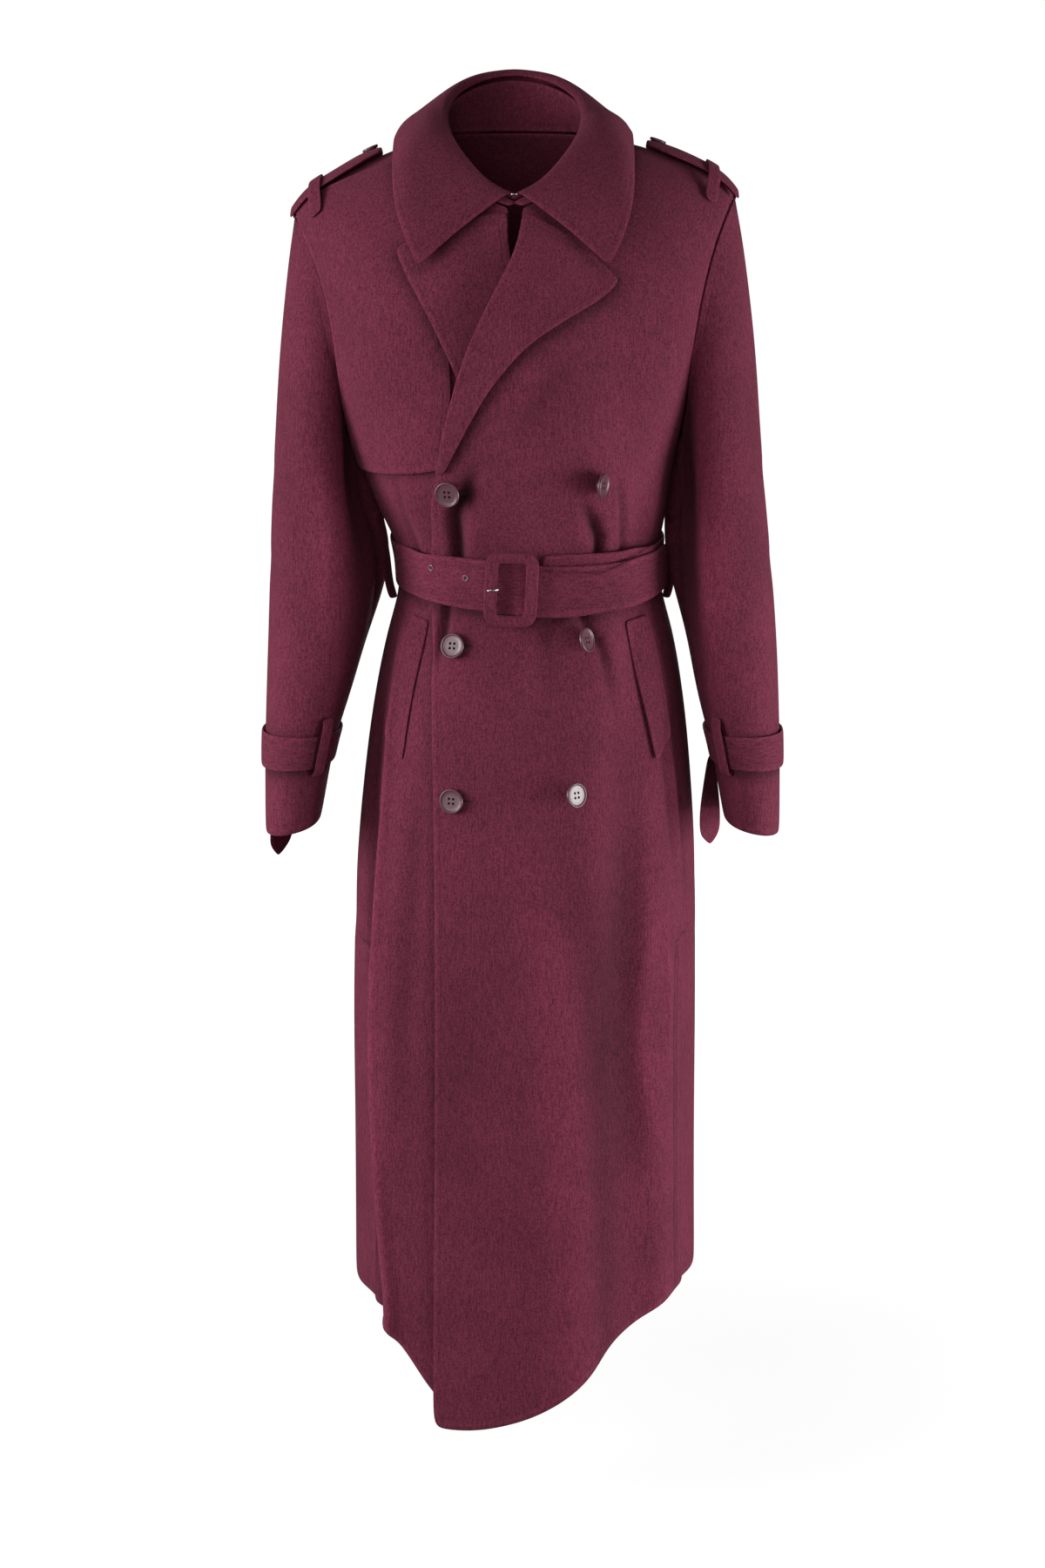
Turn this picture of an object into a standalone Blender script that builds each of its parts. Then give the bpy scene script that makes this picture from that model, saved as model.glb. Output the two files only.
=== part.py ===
"""Belted double-breasted wool coat, hollow and as worn. Metres, +Z up, front along -Y, origin at the neck base."""
import math

import bmesh
import bpy
import numpy as np
from mathutils.bvhtree import BVHTree

# Driving dimensions
CLOTH = 0.0025
SEAM = 0.0004
LAYER = 0.0011
SIDE_Y = 0.005
SQUARE = 2.3
SPLIT_Z = -0.315
SHOULDER_X = 0.221
SHOULDER_Z = -0.066
NECK_X = 0.085
NECK_Z = 0.012
ROUND_HEIGHT = 0.165
HEM_SIDE_Z = -1.190
VENT_TOP_Z = -0.800
VENT_FOOT_Z = -0.815
UNDERLAP_Z = -0.824
BELT_HALF = 0.0245
BELT_THICK = 0.003
BUTTON_RADIUS = 0.0126
SMALL_BUTTON_RADIUS = 0.0085

# Body sections: height, sideways lean, half width, front depth, back depth
BODY = (
    (-1.310, 0.003, 0.191, -0.190, 0.188),
    (-1.040, 0.002, 0.187, -0.178, 0.180),
    (-0.840, 0.002, 0.185, -0.166, 0.171),
    (-0.650, 0.005, 0.174, -0.152, 0.157),
    (-0.540, 0.007, 0.160, -0.140, 0.140),
    (-0.475, 0.008, 0.146, -0.129, 0.118),
    (-0.446, 0.008, 0.137, -0.121, 0.101),
    (-0.418, 0.007, 0.134, -0.118, 0.097),
    (-0.388, 0.005, 0.137, -0.121, 0.100),
    (-0.362, 0.001, 0.147, -0.128, 0.109),
    (-0.315, -0.005, 0.159, -0.136, 0.117),
    (-0.240, -0.008, 0.183, -0.138, 0.122),
    (-0.150, -0.008, 0.206, -0.129, 0.122),
    (-0.060, -0.008, 0.232, -0.113, 0.112),
    (0.060, -0.008, 0.252, -0.100, 0.100),
)

# Folds of the skirt: angle at top, angle at hem, half spread in degrees, height, top fade start, full height
SKIRT_FOLDS = (
    (-50, -46, 9.5, 0.0095, -0.60, -0.90),
    (-64, -62, 9.0, -0.0095, -0.62, -0.92),
    (-24, -22, 9.0, -0.0030, -0.50, -0.80),
    (13, 17, 11.0, 0.0085, -0.46, -0.70),
    (30, 32, 10.0, -0.0070, -0.44, -0.60),
    (46, 45, 9.0, 0.0070, -0.50, -0.95),
    (112, 108, 11.0, 0.0060, -0.47, -0.75),
    (134, 131, 10.0, -0.0070, -0.46, -0.80),
    (156, 154, 11.0, 0.0080, -0.47, -0.75),
    (181, 183, 11.0, -0.0070, -0.46, -0.85),
    (205, 208, 11.0, 0.0075, -0.48, -0.78),
    (228, 231, 10.0, -0.0060, -0.46, -0.80),
    (250, 254, 10.0, 0.0055, -0.50, -0.82),
)

# Fullness above and below the belt: angle, half spread in degrees, height, centre height, half length
WAIST_FOLDS = (
    (-46, 7.0, 0.0055, -0.358, 0.042),
    (-33, 5.5, -0.0045, -0.362, 0.045),
    (33, 7.0, 0.0060, -0.358, 0.042),
    (46, 6.5, -0.0050, -0.362, 0.045),
    (60, 7.0, 0.0050, -0.360, 0.040),
    (-58, 6.5, -0.0040, -0.362, 0.040),
    (140, 8.0, 0.0060, -0.358, 0.044),
    (158, 8.0, -0.0045, -0.362, 0.044),
    (176, 8.0, 0.0060, -0.358, 0.044),
    (196, 8.0, -0.0045, -0.362, 0.044),
    (216, 8.0, 0.0060, -0.358, 0.044),
    (-40, 6.0, -0.0050, -0.486, 0.050),
    (-54, 6.0, 0.0045, -0.486, 0.050),
    (27, 6.5, 0.0060, -0.486, 0.050),
    (41, 6.0, -0.0065, -0.492, 0.055),
    (150, 8.0, -0.0050, -0.486, 0.050),
    (170, 8.0, 0.0050, -0.486, 0.050),
    (190, 8.0, -0.0050, -0.486, 0.050),
    (211, 8.0, 0.0050, -0.486, 0.050),
)

# Hem height by angle, for the over front and back, then for the under front
HEM = (
    (-100, -1.202), (-26, -1.301), (-17, -1.2995), (-9, -1.294), (0, -1.283), (8, -1.263), (13, -1.246),
    (24, -1.214), (38, -1.188), (52, -1.174), (66, -1.174), (100, -1.194), (140, -1.214), (180, -1.222),
    (220, -1.214), (262, -1.200), (281, -1.1975), (298, -1.194), (320, -1.200),
)
UNDER_HEM = (
    (-100, -1.200), (-79, -1.1975), (-62, -1.194), (-46, -1.200), (-38, -1.222), (-32, -1.248), (-28, -1.266),
    (-10, -1.272), (5, -1.260), (20, -1.245),
)

# Rows of the skirt and bodice, hem to underarm
BODY_ROWS = (
    HEM_SIDE_Z, -1.140, -1.075, -1.000, -0.930, -0.870, UNDERLAP_Z, VENT_FOOT_Z, VENT_TOP_Z, -0.745, -0.690,
    -0.635, -0.580, -0.535, -0.500, -0.472, -0.446, -0.418, -0.388, -0.366, -0.342, SPLIT_Z,
)
YOKE_LOWER_ROWS = 3
YOKE_UPPER_ROWS = 6

# Front edges: height, then sideways place
OVER_EDGE = (
    (-1.320, -0.0935), (-1.000, -0.0900), (-0.640, -0.0880), (-0.420, -0.0880), (-0.330, -0.0845),
    (-0.315, -0.0805),
)
UNDER_EDGE = ((-1.320, 0.0520), (-0.640, 0.0560), (-0.420, 0.0600), (-0.315, 0.0570))
OVER_ROLL = (
    (-0.315, -0.0755), (-0.250, -0.0600), (-0.211, -0.0490), (-0.154, -0.0250), (-0.103, 0.0010), (-0.062, 0.0085),
)
UNDER_ROLL = (
    (-0.315, 0.0620), (-0.250, 0.0420), (-0.180, 0.0200), (-0.120, -0.0010), (-0.095, -0.0055), (-0.062, -0.0055),
)
ARMHOLE = (
    (-0.315, 0.1590), (-0.290, 0.1640), (-0.250, 0.1715), (-0.180, 0.1790), (-0.115, 0.1960), (-0.066, 0.2210),
)

# Rise of the shoulder line over a straight one: distance from the middle, rise
LEFT_CROWN = (
    (0.085, 0.0), (0.105, 0.0060), (0.120, 0.0115), (0.134, 0.0155), (0.149, 0.0190), (0.167, 0.0235),
    (0.195, 0.0265), (0.2115, 0.0250), (0.221, 0.0200),
)
RIGHT_CROWN = (
    (0.085, 0.0), (0.105, 0.0038), (0.1225, 0.0065), (0.140, 0.0095), (0.166, 0.0118), (0.1834, 0.0122),
    (0.201, 0.0112), (0.212, 0.0078), (0.221, 0.0020),
)

# Neckline: share of its length, x, z
NECKLINE = ((0.0, 0.0085, -0.062), (0.35, 0.0360, -0.050), (0.7, 0.0660, -0.026), (1.0, 0.0850, 0.012))
BACK_NECKLINE = ((0.0, 0.0850, 0.012), (0.35, 0.0620, 0.015), (0.7, 0.0300, 0.0175), (1.0, 0.0, 0.0185))

# Sleeve rings: outer x, outer z, inner x, inner z, front y, back y, share of the free tube
SLEEVE = (
    (0.2275, -0.088, 0.1610, -0.323, -0.062, 0.088, 0.30),
    (0.2350, -0.128, 0.1640, -0.334, -0.070, 0.092, 0.65),
    (0.2410, -0.190, 0.1645, -0.348, -0.076, 0.091, 1.0),
    (0.2460, -0.262, 0.1620, -0.370, -0.082, 0.085, 1.0),
    (0.2520, -0.342, 0.1590, -0.405, -0.090, 0.072, 1.0),
    (0.2580, -0.425, 0.1590, -0.452, -0.097, 0.056, 1.0),
    (0.2620, -0.500, 0.1680, -0.510, -0.103, 0.038, 1.0),
    (0.2640, -0.560, 0.1825, -0.562, -0.107, 0.024, 1.0),
    (0.2650, -0.590, 0.1910, -0.588, -0.109, 0.016, 1.0),
    (0.2655, -0.625, 0.1980, -0.620, -0.110, 0.009, 1.0),
    (0.2660, -0.684, 0.2080, -0.674, -0.112, 0.001, 1.0),
)
SLEEVE_SWAY = 0.007
SLEEVE_PRESS = {1: 0.004, -1: 0.015}
STRAP_FIRST = 7.55
STRAP_LAST = 8.75
LOOP_COLUMN = 2
LOOP_HALF = 0.0072
LOOP_PATH = (
    (6.95, 0.0023), (7.18, 0.0056), (7.55, 0.0065), (8.20, 0.0066), (8.76, 0.0065), (8.88, 0.0054), (8.96, 0.0023),
)

# Hanging ends of the sleeve straps: ring column, half width, drop, sideways and forward drift, twist in degrees
TAILS = {"left": (17, 0.0180, 0.098, 0.0015, 0.0040, -28), "right": (5, 0.0180, 0.113, -0.0105, -0.0010, 12)}

# Collar: roll line x, y, z and outer edge x, z (front of the shoulder first, then over it to the back)
ROLL_LINE = (
    (0.0035, -0.1035, -0.0490), (0.0300, -0.0950, -0.0350), (0.0540, -0.0720, -0.0080), (0.0690, -0.0370, 0.0180),
    (0.0720, 0.0030, 0.0390), (0.0630, 0.0420, 0.0590), (0.0370, 0.0740, 0.0760), (0.0, 0.0870, 0.0820),
)
FALL_EDGE = (
    (0.0870, -0.1225), (0.0985, -0.1000), (0.1080, -0.0720), (0.1130, -0.0420),
    (0.1130, -0.0046), (0.0960, -0.0170), (0.0550, -0.0300), (0.0, -0.0340),
)
FALL_LIFT = (0.0165, 0.0165, 0.0158, 0.0130, 0.0115, 0.0080, 0.0080, 0.0080)
FALL_BULGE = (0.0030, 0.0080, 0.0105, 0.0110, 0.0115, 0.0130, 0.0150, 0.0150)
STAND_DROP = 0.0070
STAND_INSET = 0.0055

# Lapels: outer edge x, z from the peak to the break
LEFT_LAPEL_EDGE = (
    (0.1000, -0.1300), (0.0880, -0.1445), (0.0500, -0.1675), (0.0120, -0.1930), (-0.0230, -0.2330),
    (-0.0470, -0.2750), (-0.0655, -0.3090),
)
RIGHT_LAPEL_EDGE = (
    (-0.1125, -0.1020), (-0.1040, -0.1230), (-0.0818, -0.1636), (-0.0571, -0.2137), (-0.0440, -0.2430),
    (0.0000, -0.2820), (0.0500, -0.3085),
)
LAPEL_ROWS = 10
LAPEL_COLUMNS = 6

# Storm flap front edge, z and x, and the drop of its top below the shoulder line
FLAP_FRONT = (
    (-0.3085, -0.0690), (-0.2760, -0.0635), (-0.2260, -0.0585), (-0.1500, -0.0720), (-0.0900, -0.0900),
    (-0.0060, -0.1000),
)
FLAP_TOP_DROP = 0.004

# Buttons: name, x, z, turn to the side in degrees
FRONT_BUTTONS = (
    ("left_button_top", 0.0690, -0.3210, 30),
    ("left_button_middle", 0.0590, -0.4780, 32),
    ("left_button_bottom", 0.0490, -0.6260, 34),
    ("right_button_top", -0.0680, -0.3290, -4),
    ("right_button_middle", -0.0655, -0.4840, -2),
    ("right_button_bottom", -0.0680, -0.6350, -2),
)

# Belt buckle place, tilt in degrees, outer and inner half sizes
BUCKLE_X = -0.0110
BUCKLE_Z = -0.4245
BUCKLE_TILT = 3.0
BUCKLE_OUTER = (0.0245, 0.0345)
BUCKLE_INNER = (0.0155, 0.0275)

# Belt loops: height, lift off the form
BELT_LOOP = (
    (-0.3590, 0.0027), (-0.3670, 0.0080), (-0.3810, 0.0128), (-0.4060, 0.0145), (-0.4310, 0.0130), (-0.4440, 0.0085),
    (-0.4520, 0.0027),
)

# Colours of cloth, buttons and hardware
WOOL = (0.155, 0.030, 0.058, 1)
HORN = (0.235, 0.085, 0.105, 1)
STEEL = (0.60, 0.60, 0.62, 1)


def ease(low, high, value):
    share = min(1.0, max(0.0, (value - low) / (high - low)))
    return share * share * (3 - 2 * share)


def spline(keys, values, at):
    """Smooth curve through values at rising keys, held at both ends."""
    keys = np.asarray(keys, float)
    values = np.asarray(values, float)
    at = min(max(at, keys[0]), keys[-1])
    index = min(int(np.searchsorted(keys, at, side="right")) - 1, len(keys) - 2)
    slopes = np.gradient(values, keys, axis=0)
    span = keys[index + 1] - keys[index]
    share = (at - keys[index]) / span
    square, cube = share * share, share ** 3
    return (
        (2 * cube - 3 * square + 1) * values[index]
        + (cube - 2 * square + share) * span * slopes[index]
        + (3 * square - 2 * cube) * values[index + 1]
        + (cube - square) * span * slopes[index + 1]
    )


def column(table, at):
    rows = np.asarray(table, float)
    return spline(rows[:, 0], rows[:, 1:], at)


def unit(vector):
    return vector / np.linalg.norm(vector)


def section(z):
    return column(BODY, z)


def fold_height(angle, z):
    total = 0.0
    belt = 1 - 0.85 * math.exp(-((z + 0.416) / 0.034) ** 2)
    wrapped = angle if angle < 262 else angle - 360
    for top, hem, spread, height, start, full in SKIRT_FOLDS:
        share = ease(-start, -full, -z)
        if share:
            middle = top + (hem - top) * min(1.0, max(0.0, (-z - 0.42) / 0.85))
            total += height * share * math.exp(-((wrapped - middle) / spread) ** 2)
    for middle, spread, height, centre, length in WAIST_FOLDS:
        total += height * math.exp(-((wrapped - middle) / spread) ** 2 - ((z - centre) / length) ** 2 * 2)
    return total * belt * (1 - ease(-0.345, SPLIT_Z - 0.004, z))


def body_base(angle, z):
    lean, half, front, back = section(z)
    turn = math.radians(angle)
    side, ahead = math.sin(turn), math.cos(turn)
    power = 2 / SQUARE
    depth = front if ahead > 0 else back
    fold = fold_height(angle, z)
    return np.array((
        lean + half * math.copysign(abs(side) ** power, side) + fold * side,
        SIDE_Y + (depth - SIDE_Y) * abs(ahead) ** power - fold * ahead,
        z,
    ))


def body_normal(angle, z):
    around = body_base(angle + 0.4, z) - body_base(angle - 0.4, z)
    upward = body_base(angle, z + 0.002) - body_base(angle, z - 0.002)
    return unit(np.cross(around, upward))


def body_point(angle, z, lift):
    return body_base(angle, z) + lift * body_normal(angle, z)


def angle_of(x, z):
    lean, half, _, _ = section(z)
    share = (x - lean) / half
    return math.degrees(math.copysign(math.asin(min(1.0, abs(share) ** (SQUARE / 2))), share))


def ridge_height(x):
    straight = NECK_Z + (SHOULDER_Z - NECK_Z) * (abs(x) - NECK_X) / (SHOULDER_X - NECK_X)
    return straight + column(LEFT_CROWN if x > 0 else RIGHT_CROWN, min(SHOULDER_X, max(NECK_X, abs(x))))[0]


def yoke_base(x, roll, facing):
    """Point of the yoke at x, roll reaching 90 degrees at the shoulder line. Facing is -1 in front, 1 behind."""
    turn = math.radians(roll)
    start = ridge_height(x) - ROUND_HEIGHT
    z = start + ROUND_HEIGHT * (math.sin(turn) if turn > 0 else turn)
    lean, half, front, back = section(z)
    depth = (front if facing < 0 else back) - SIDE_Y
    across = (1 - min(0.999, abs(x) / half) ** SQUARE) ** (1 / SQUARE)
    return np.array((lean + x, SIDE_Y + depth * across * math.cos(max(0.0, turn)), z))


def yoke_height(x, y):
    """Height of the yoke's outer side over x and y."""
    lean, half, front, back = section(ridge_height(x))
    across = (1 - min(0.999, abs(x) / half) ** SQUARE) ** (1 / SQUARE)
    share = min(1.0, (y - SIDE_Y) / (((front if y < SIDE_Y else back) - SIDE_Y) * across))
    return ridge_height(x) - ROUND_HEIGHT * (1 - math.sqrt(1 - share * share))


def roll_of(x, z):
    share = (z - ridge_height(x) + ROUND_HEIGHT) / ROUND_HEIGHT
    return math.degrees(math.asin(min(1.0, share)) if share > 0 else share)


def yoke_roll_point(x, roll, facing, lift):
    across = yoke_base(x + 0.001, roll, facing) - yoke_base(x - 0.001, roll, facing)
    upward = np.array((0, -facing, 0))
    if roll < 89:
        upward = yoke_base(x, roll + 0.4, facing) - yoke_base(x, roll - 0.4, facing)
    return yoke_base(x, roll, facing) + lift * unit(np.cross(across, upward)) * -facing


def yoke_point(x, z, facing, lift):
    return yoke_roll_point(x, roll_of(x, z), facing, lift)


def over_lift(x, z):
    """How far the over front stands off the form, to clear the under front and the lapel between them."""
    lapel_stack = 0.0065 * ease(-0.385, -0.335, z) * (1 - ease(-0.155, -0.080, z))
    overlap = (CLOTH + 3.2 * LAYER) * (1 - ease(-0.105, -0.070, z))
    reach = column(UNDER_ROLL, z)[0] + 0.004 if z > SPLIT_Z else 0.062
    return (overlap + lapel_stack) * (1 - ease(reach, reach + 0.058, x))


def seam_angle(z):
    return 79.0 + 11.0 * ease(-0.62, SPLIT_Z, z)


def vent_cut(z):
    return 17.0 * ease(-VENT_TOP_Z, -VENT_FOOT_Z, -z)


def row_height(reference, angle, hem_table):
    hem = column(hem_table, angle)[0]
    share = max(0.0, (-0.5 - reference) / (-0.5 - HEM_SIDE_Z))
    return reference + (hem - HEM_SIDE_Z) * share ** 1.5


def yoke_shares():
    lower = [0.42 * row / YOKE_LOWER_ROWS for row in range(YOKE_LOWER_ROWS)]
    upper = [0.42 + 0.58 * math.sin(math.pi / 2 * row / YOKE_UPPER_ROWS) for row in range(YOKE_UPPER_ROWS + 1)]
    return lower + upper


def patch(low, high, first, last):
    """Even blend between four edges of (x, z): low and high along the columns, first and last along the rows."""
    low, high, first, last = (np.asarray(edge, float) for edge in (low, high, first, last))
    rows, columns = len(first), len(low)
    heights = yoke_shares() if rows == len(yoke_shares()) else np.linspace(0, 1, rows)
    grid = np.zeros((rows, columns, 2))
    for i in range(rows):
        v = heights[i]
        for j in range(columns):
            u = j / (columns - 1)
            corners = (1 - v) * ((1 - u) * low[0] + u * low[-1]) + v * ((1 - u) * high[0] + u * high[-1])
            grid[i, j] = (1 - u) * first[i] + u * last[i] + (1 - v) * low[j] + v * high[j] - corners
    return grid


def armhole_edge(sign):
    rise = ridge_height(sign * SHOULDER_X) - SHOULDER_Z
    heights = [SPLIT_Z + (SHOULDER_Z - SPLIT_Z) * share for share in yoke_shares()]
    return [(sign * column(ARMHOLE, z)[0], z + rise * ease(-0.180, SHOULDER_Z, z)) for z in heights]


def shoulder_edge(count, sign):
    places = np.linspace(SHOULDER_X, NECK_X, count)
    return [(sign * x, ridge_height(sign * x)) for x in places]


def front_grids(sign, columns, neck_columns):
    """Outer and inner points of a front. Sign 1 is the over front on +X, -1 the under front on -X."""
    edge, hem = (OVER_EDGE, HEM) if sign > 0 else (UNDER_EDGE, UNDER_HEM)
    grids = []
    for depth in (0.0, CLOTH):
        rows = []
        for reference in BODY_ROWS:
            row = []
            for j in range(columns + 1):
                share = j / columns
                if sign < 0:
                    share = 1 - share
                z = reference
                for _ in range(3):
                    inner = angle_of(column(edge, z)[0], z)
                    outer = sign * (seam_angle(z) - 0.13)
                    angle = inner + (outer - inner) * share - sign * vent_cut(z) * ease(0.55, 1.0, share)
                    z = row_height(reference, angle, hem)
                place = body_base(angle, z)
                lift = over_lift(place[0], z) if sign > 0 else 0.0
                row.append(body_point(angle, z, lift - depth))
            rows.append(row)
        lean = section(SPLIT_Z)[0]
        low = [(point[0] - lean, SPLIT_Z) for point in split_places(sign, columns)]
        shares = yoke_shares()
        roll_table = OVER_ROLL if sign > 0 else UNDER_ROLL
        bottom, top = SPLIT_Z, roll_table[-1][0]
        roll = [(column(roll_table, bottom + (top - bottom) * v)[0], bottom + (top - bottom) * v) for v in shares]
        neck = []
        for index in range(neck_columns + 1):
            x, z = column(NECKLINE, index / neck_columns)
            neck.append((x, z))
        if sign < 0:
            neck = [(-x, z) for x, z in neck]
            neck[0] = roll[-1]
        shoulder = shoulder_edge(columns - neck_columns + 1, sign)
        high = neck + shoulder[::-1][1:]
        arm = armhole_edge(sign)
        if sign < 0:
            high = high[::-1]
            places = patch(low, high, arm, roll)
        else:
            places = patch(low, high, roll, arm)
        for i in range(1, len(shares)):
            row = []
            for x, z in places[i]:
                lift = over_lift(x - 0.006, z) if sign > 0 else 0.0
                row.append(yoke_point(x, z, -1, lift - depth))
            rows.append(row)
        grids.append(np.array(rows))
    return grids


def split_places(sign, columns):
    edge = OVER_EDGE if sign > 0 else UNDER_EDGE
    inner = angle_of(column(edge, SPLIT_Z)[0], SPLIT_Z)
    outer = sign * (seam_angle(SPLIT_Z) - 0.13)
    places = [body_base(inner + (outer - inner) * j / columns, SPLIT_Z) for j in range(columns + 1)]
    return places if sign > 0 else places[::-1]


def back_grids(columns, neck_columns):
    """Outer and inner points of the back, from the wearer's left side seam round to the right one."""
    grids = []
    for depth in (0.0, CLOTH):
        rows = []
        for reference in BODY_ROWS:
            row = []
            for j in range(columns + 1):
                share = j / columns
                z = reference
                for _ in range(3):
                    start = seam_angle(z) + 0.13
                    spread = vent_cut(z) + 7.0 * ease(-VENT_FOOT_Z, -UNDERLAP_Z, -z)
                    angle = start + (360 - 2 * start) * share
                    angle -= spread * (1 - ease(0, 0.22, share) - ease(0.78, 1, share))
                    z = row_height(reference, angle, HEM)
                near = min(angle, 360 - angle) - seam_angle(z) + vent_cut(z)
                sink = ease(-VENT_TOP_Z - 0.012, -VENT_TOP_Z + 0.002, -z) * (1 - ease(2, 14, near))
                row.append(body_point(angle, z, -sink * (CLOTH + 3 * LAYER) - depth))
            rows.append(row)
        lean = section(SPLIT_Z)[0]
        start = seam_angle(SPLIT_Z) + 0.13
        angles = np.linspace(start, 360 - start, columns + 1)
        low = [(body_base(angle, SPLIT_Z)[0] - lean, SPLIT_Z) for angle in angles]
        half = [column(BACK_NECKLINE, index / neck_columns) for index in range(neck_columns + 1)]
        count = columns // 2 - neck_columns + 1
        left_top = shoulder_edge(count, 1)[:-1] + [(x, z) for x, z in half]
        right_top = shoulder_edge(count, -1)[:-1] + [(-x, z) for x, z in half]
        high = left_top + right_top[::-1][1:]
        places = patch(low, high, armhole_edge(1), armhole_edge(-1))
        for i in range(1, len(places)):
            row = []
            for x, z in places[i]:
                point = yoke_point(x, z, 1, -depth)
                if i == len(places) - 1:
                    point = point + np.array((0, 2 * SEAM, 0))
                row.append(point)
            rows.append(row)
        grids.append(np.array(rows))
    return grids


def grid_normals(points, closed):
    if closed:
        around = np.roll(points, -1, axis=1) - np.roll(points, 1, axis=1)
    else:
        around = np.gradient(points, axis=1)
    upward = np.gradient(points, axis=0)
    normals = np.cross(around, upward)
    return normals / np.linalg.norm(normals, axis=2, keepdims=True)


def face_outward(build):
    bmesh.ops.recalc_face_normals(build, faces=build.faces)
    if build.calc_volume(signed=True) < 0:
        bmesh.ops.reverse_faces(build, faces=build.faces)


def fabric_material(name, colour, roughness):
    material = bpy.data.materials.new(name)
    material.use_nodes = True
    shader = material.node_tree.nodes["Principled BSDF"]
    shader.inputs["Base Color"].default_value = colour
    shader.inputs["Roughness"].default_value = roughness
    return material


def finish_object(name, mesh, colour, roughness=0.9, metallic=0.0):
    body = bpy.data.objects.new(name, mesh)
    material = fabric_material(name, colour, roughness)
    material.node_tree.nodes["Principled BSDF"].inputs["Metallic"].default_value = metallic
    mesh.materials.clear()
    mesh.materials.append(material)
    coat.objects.link(body)
    return body


def shell(name, outer, inner, closed=False, colour=WOOL):
    """Closed solid between two like grids of points, rows upward and columns turning so that outer faces out."""
    rows, columns, _ = outer.shape
    build = bmesh.new()
    skins = []
    for grid in (outer, inner):
        skins.append([[build.verts.new(point) for point in row] for row in grid])
    near, far = skins
    spans = columns if closed else columns - 1
    for i in range(rows - 1):
        for j in range(spans):
            k = (j + 1) % columns
            build.faces.new((near[i][j], near[i][k], near[i + 1][k], near[i + 1][j]))
            build.faces.new((far[i][j], far[i + 1][j], far[i + 1][k], far[i][k]))
    for j in range(spans):
        k = (j + 1) % columns
        build.faces.new((near[0][j], far[0][j], far[0][k], near[0][k]))
        build.faces.new((near[-1][j], near[-1][k], far[-1][k], far[-1][j]))
    if not closed:
        for i in range(rows - 1):
            build.faces.new((near[i][0], near[i + 1][0], far[i + 1][0], far[i][0]))
            build.faces.new((near[i][-1], far[i][-1], far[i + 1][-1], near[i + 1][-1]))
    mesh = bpy.data.meshes.new(name)
    build.to_mesh(mesh)
    build.free()
    return finish_object(name, mesh, colour)


def sheet(name, points, thickness, closed=False):
    return shell(name, points, points - thickness * grid_normals(points, closed), closed)


def strip(name, path, across, half_width, thickness, tip=0.0):
    """Flat strap along a path, wide along the across directions, its top facing path-direction x across."""
    path = np.asarray(path, float)
    across = np.asarray(across, float)
    if across.ndim == 1:
        across = np.tile(across, (len(path), 1))
    widths = np.full(len(path), half_width)
    rows = []
    for side in (-1, 0, 1):
        row = path + side * widths[:, None] * across
        if tip and side:
            row[-1] = path[-1] + side * 0.16 * half_width * across[-1] - unit(path[-1] - path[-2]) * tip
        rows.append(row)
    return sheet(name, np.array(rows), thickness)


# Start from an empty file
for item in list(bpy.data.objects):
    bpy.data.objects.remove(item)
coat = bpy.data.collections.new("wool_coat")
bpy.context.scene.collection.children.link(coat)

# Panels
left_outer, left_inner = front_grids(1, 15, 5)
right_outer, right_inner = front_grids(-1, 15, 5)
back_outer, back_inner = back_grids(24, 4)
shell("left_front", left_outer, left_inner)
shell("right_front", right_outer, right_inner)
shell("back", back_outer, back_inner)


# Sleeves
def sleeve_grid(sign):
    first = len(BODY_ROWS) - 1
    front = left_outer[first:, -1] if sign > 0 else right_outer[first:, 0]
    behind = back_outer[first:, 0] if sign > 0 else back_outer[first:, -1]
    ring = np.concatenate((front, behind[-2:0:-1]))
    centre = ring.mean(axis=0)
    lengths = np.concatenate(([0], np.cumsum(np.linalg.norm(np.diff(front, axis=0), axis=1))))
    turns = list(np.pi * (1 - lengths / lengths[-1]))
    back_lengths = np.concatenate(([0], np.cumsum(np.linalg.norm(np.diff(behind, axis=0), axis=1))))
    turns += [2 * np.pi - turn for turn in (np.pi * (1 - back_lengths / back_lengths[-1]))[-2:0:-1]]
    rows = [ring + np.array((sign * 1.6 * SEAM, 0, 0))]
    lean = section(SHOULDER_Z)[0]
    for outer_x, outer_z, inner_x, inner_z, front_y, back_y, share in SLEEVE:
        row = []
        for turn, start in zip(turns, ring):
            across, depth = math.cos(turn), math.sin(turn)
            across = math.copysign(abs(across) ** 0.92, across)
            depth = math.copysign(abs(depth) ** 0.92, depth)
            x = (outer_x + inner_x) / 2 + (outer_x - inner_x) / 2 * across
            z = (outer_z + inner_z) / 2 + (outer_z - inner_z) / 2 * across
            y = (front_y + back_y) / 2 + (front_y - back_y) / 2 * depth
            shift = 0.6 * lean * (1 - ease(0.30, 0.50, -z))
            shift += SLEEVE_SWAY * math.exp(-((z + 0.44) / 0.08) ** 2) * (1 - across) / 2
            press = math.exp(-((z + 0.405) / 0.045) ** 2) * (1 - across) / 2 * (0.55 + 0.45 * ease(-0.2, 0.6, depth))
            shift -= sign * SLEEVE_PRESS[sign] * press
            free = np.array((sign * x + shift, y, z))
            row.append((1 - share) * start + share * free)
        rows.append(np.array(row))
    rows = np.array(rows)[::-1]
    if sign < 0:
        rows = rows[:, ::-1]
    return rows, centre


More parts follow.
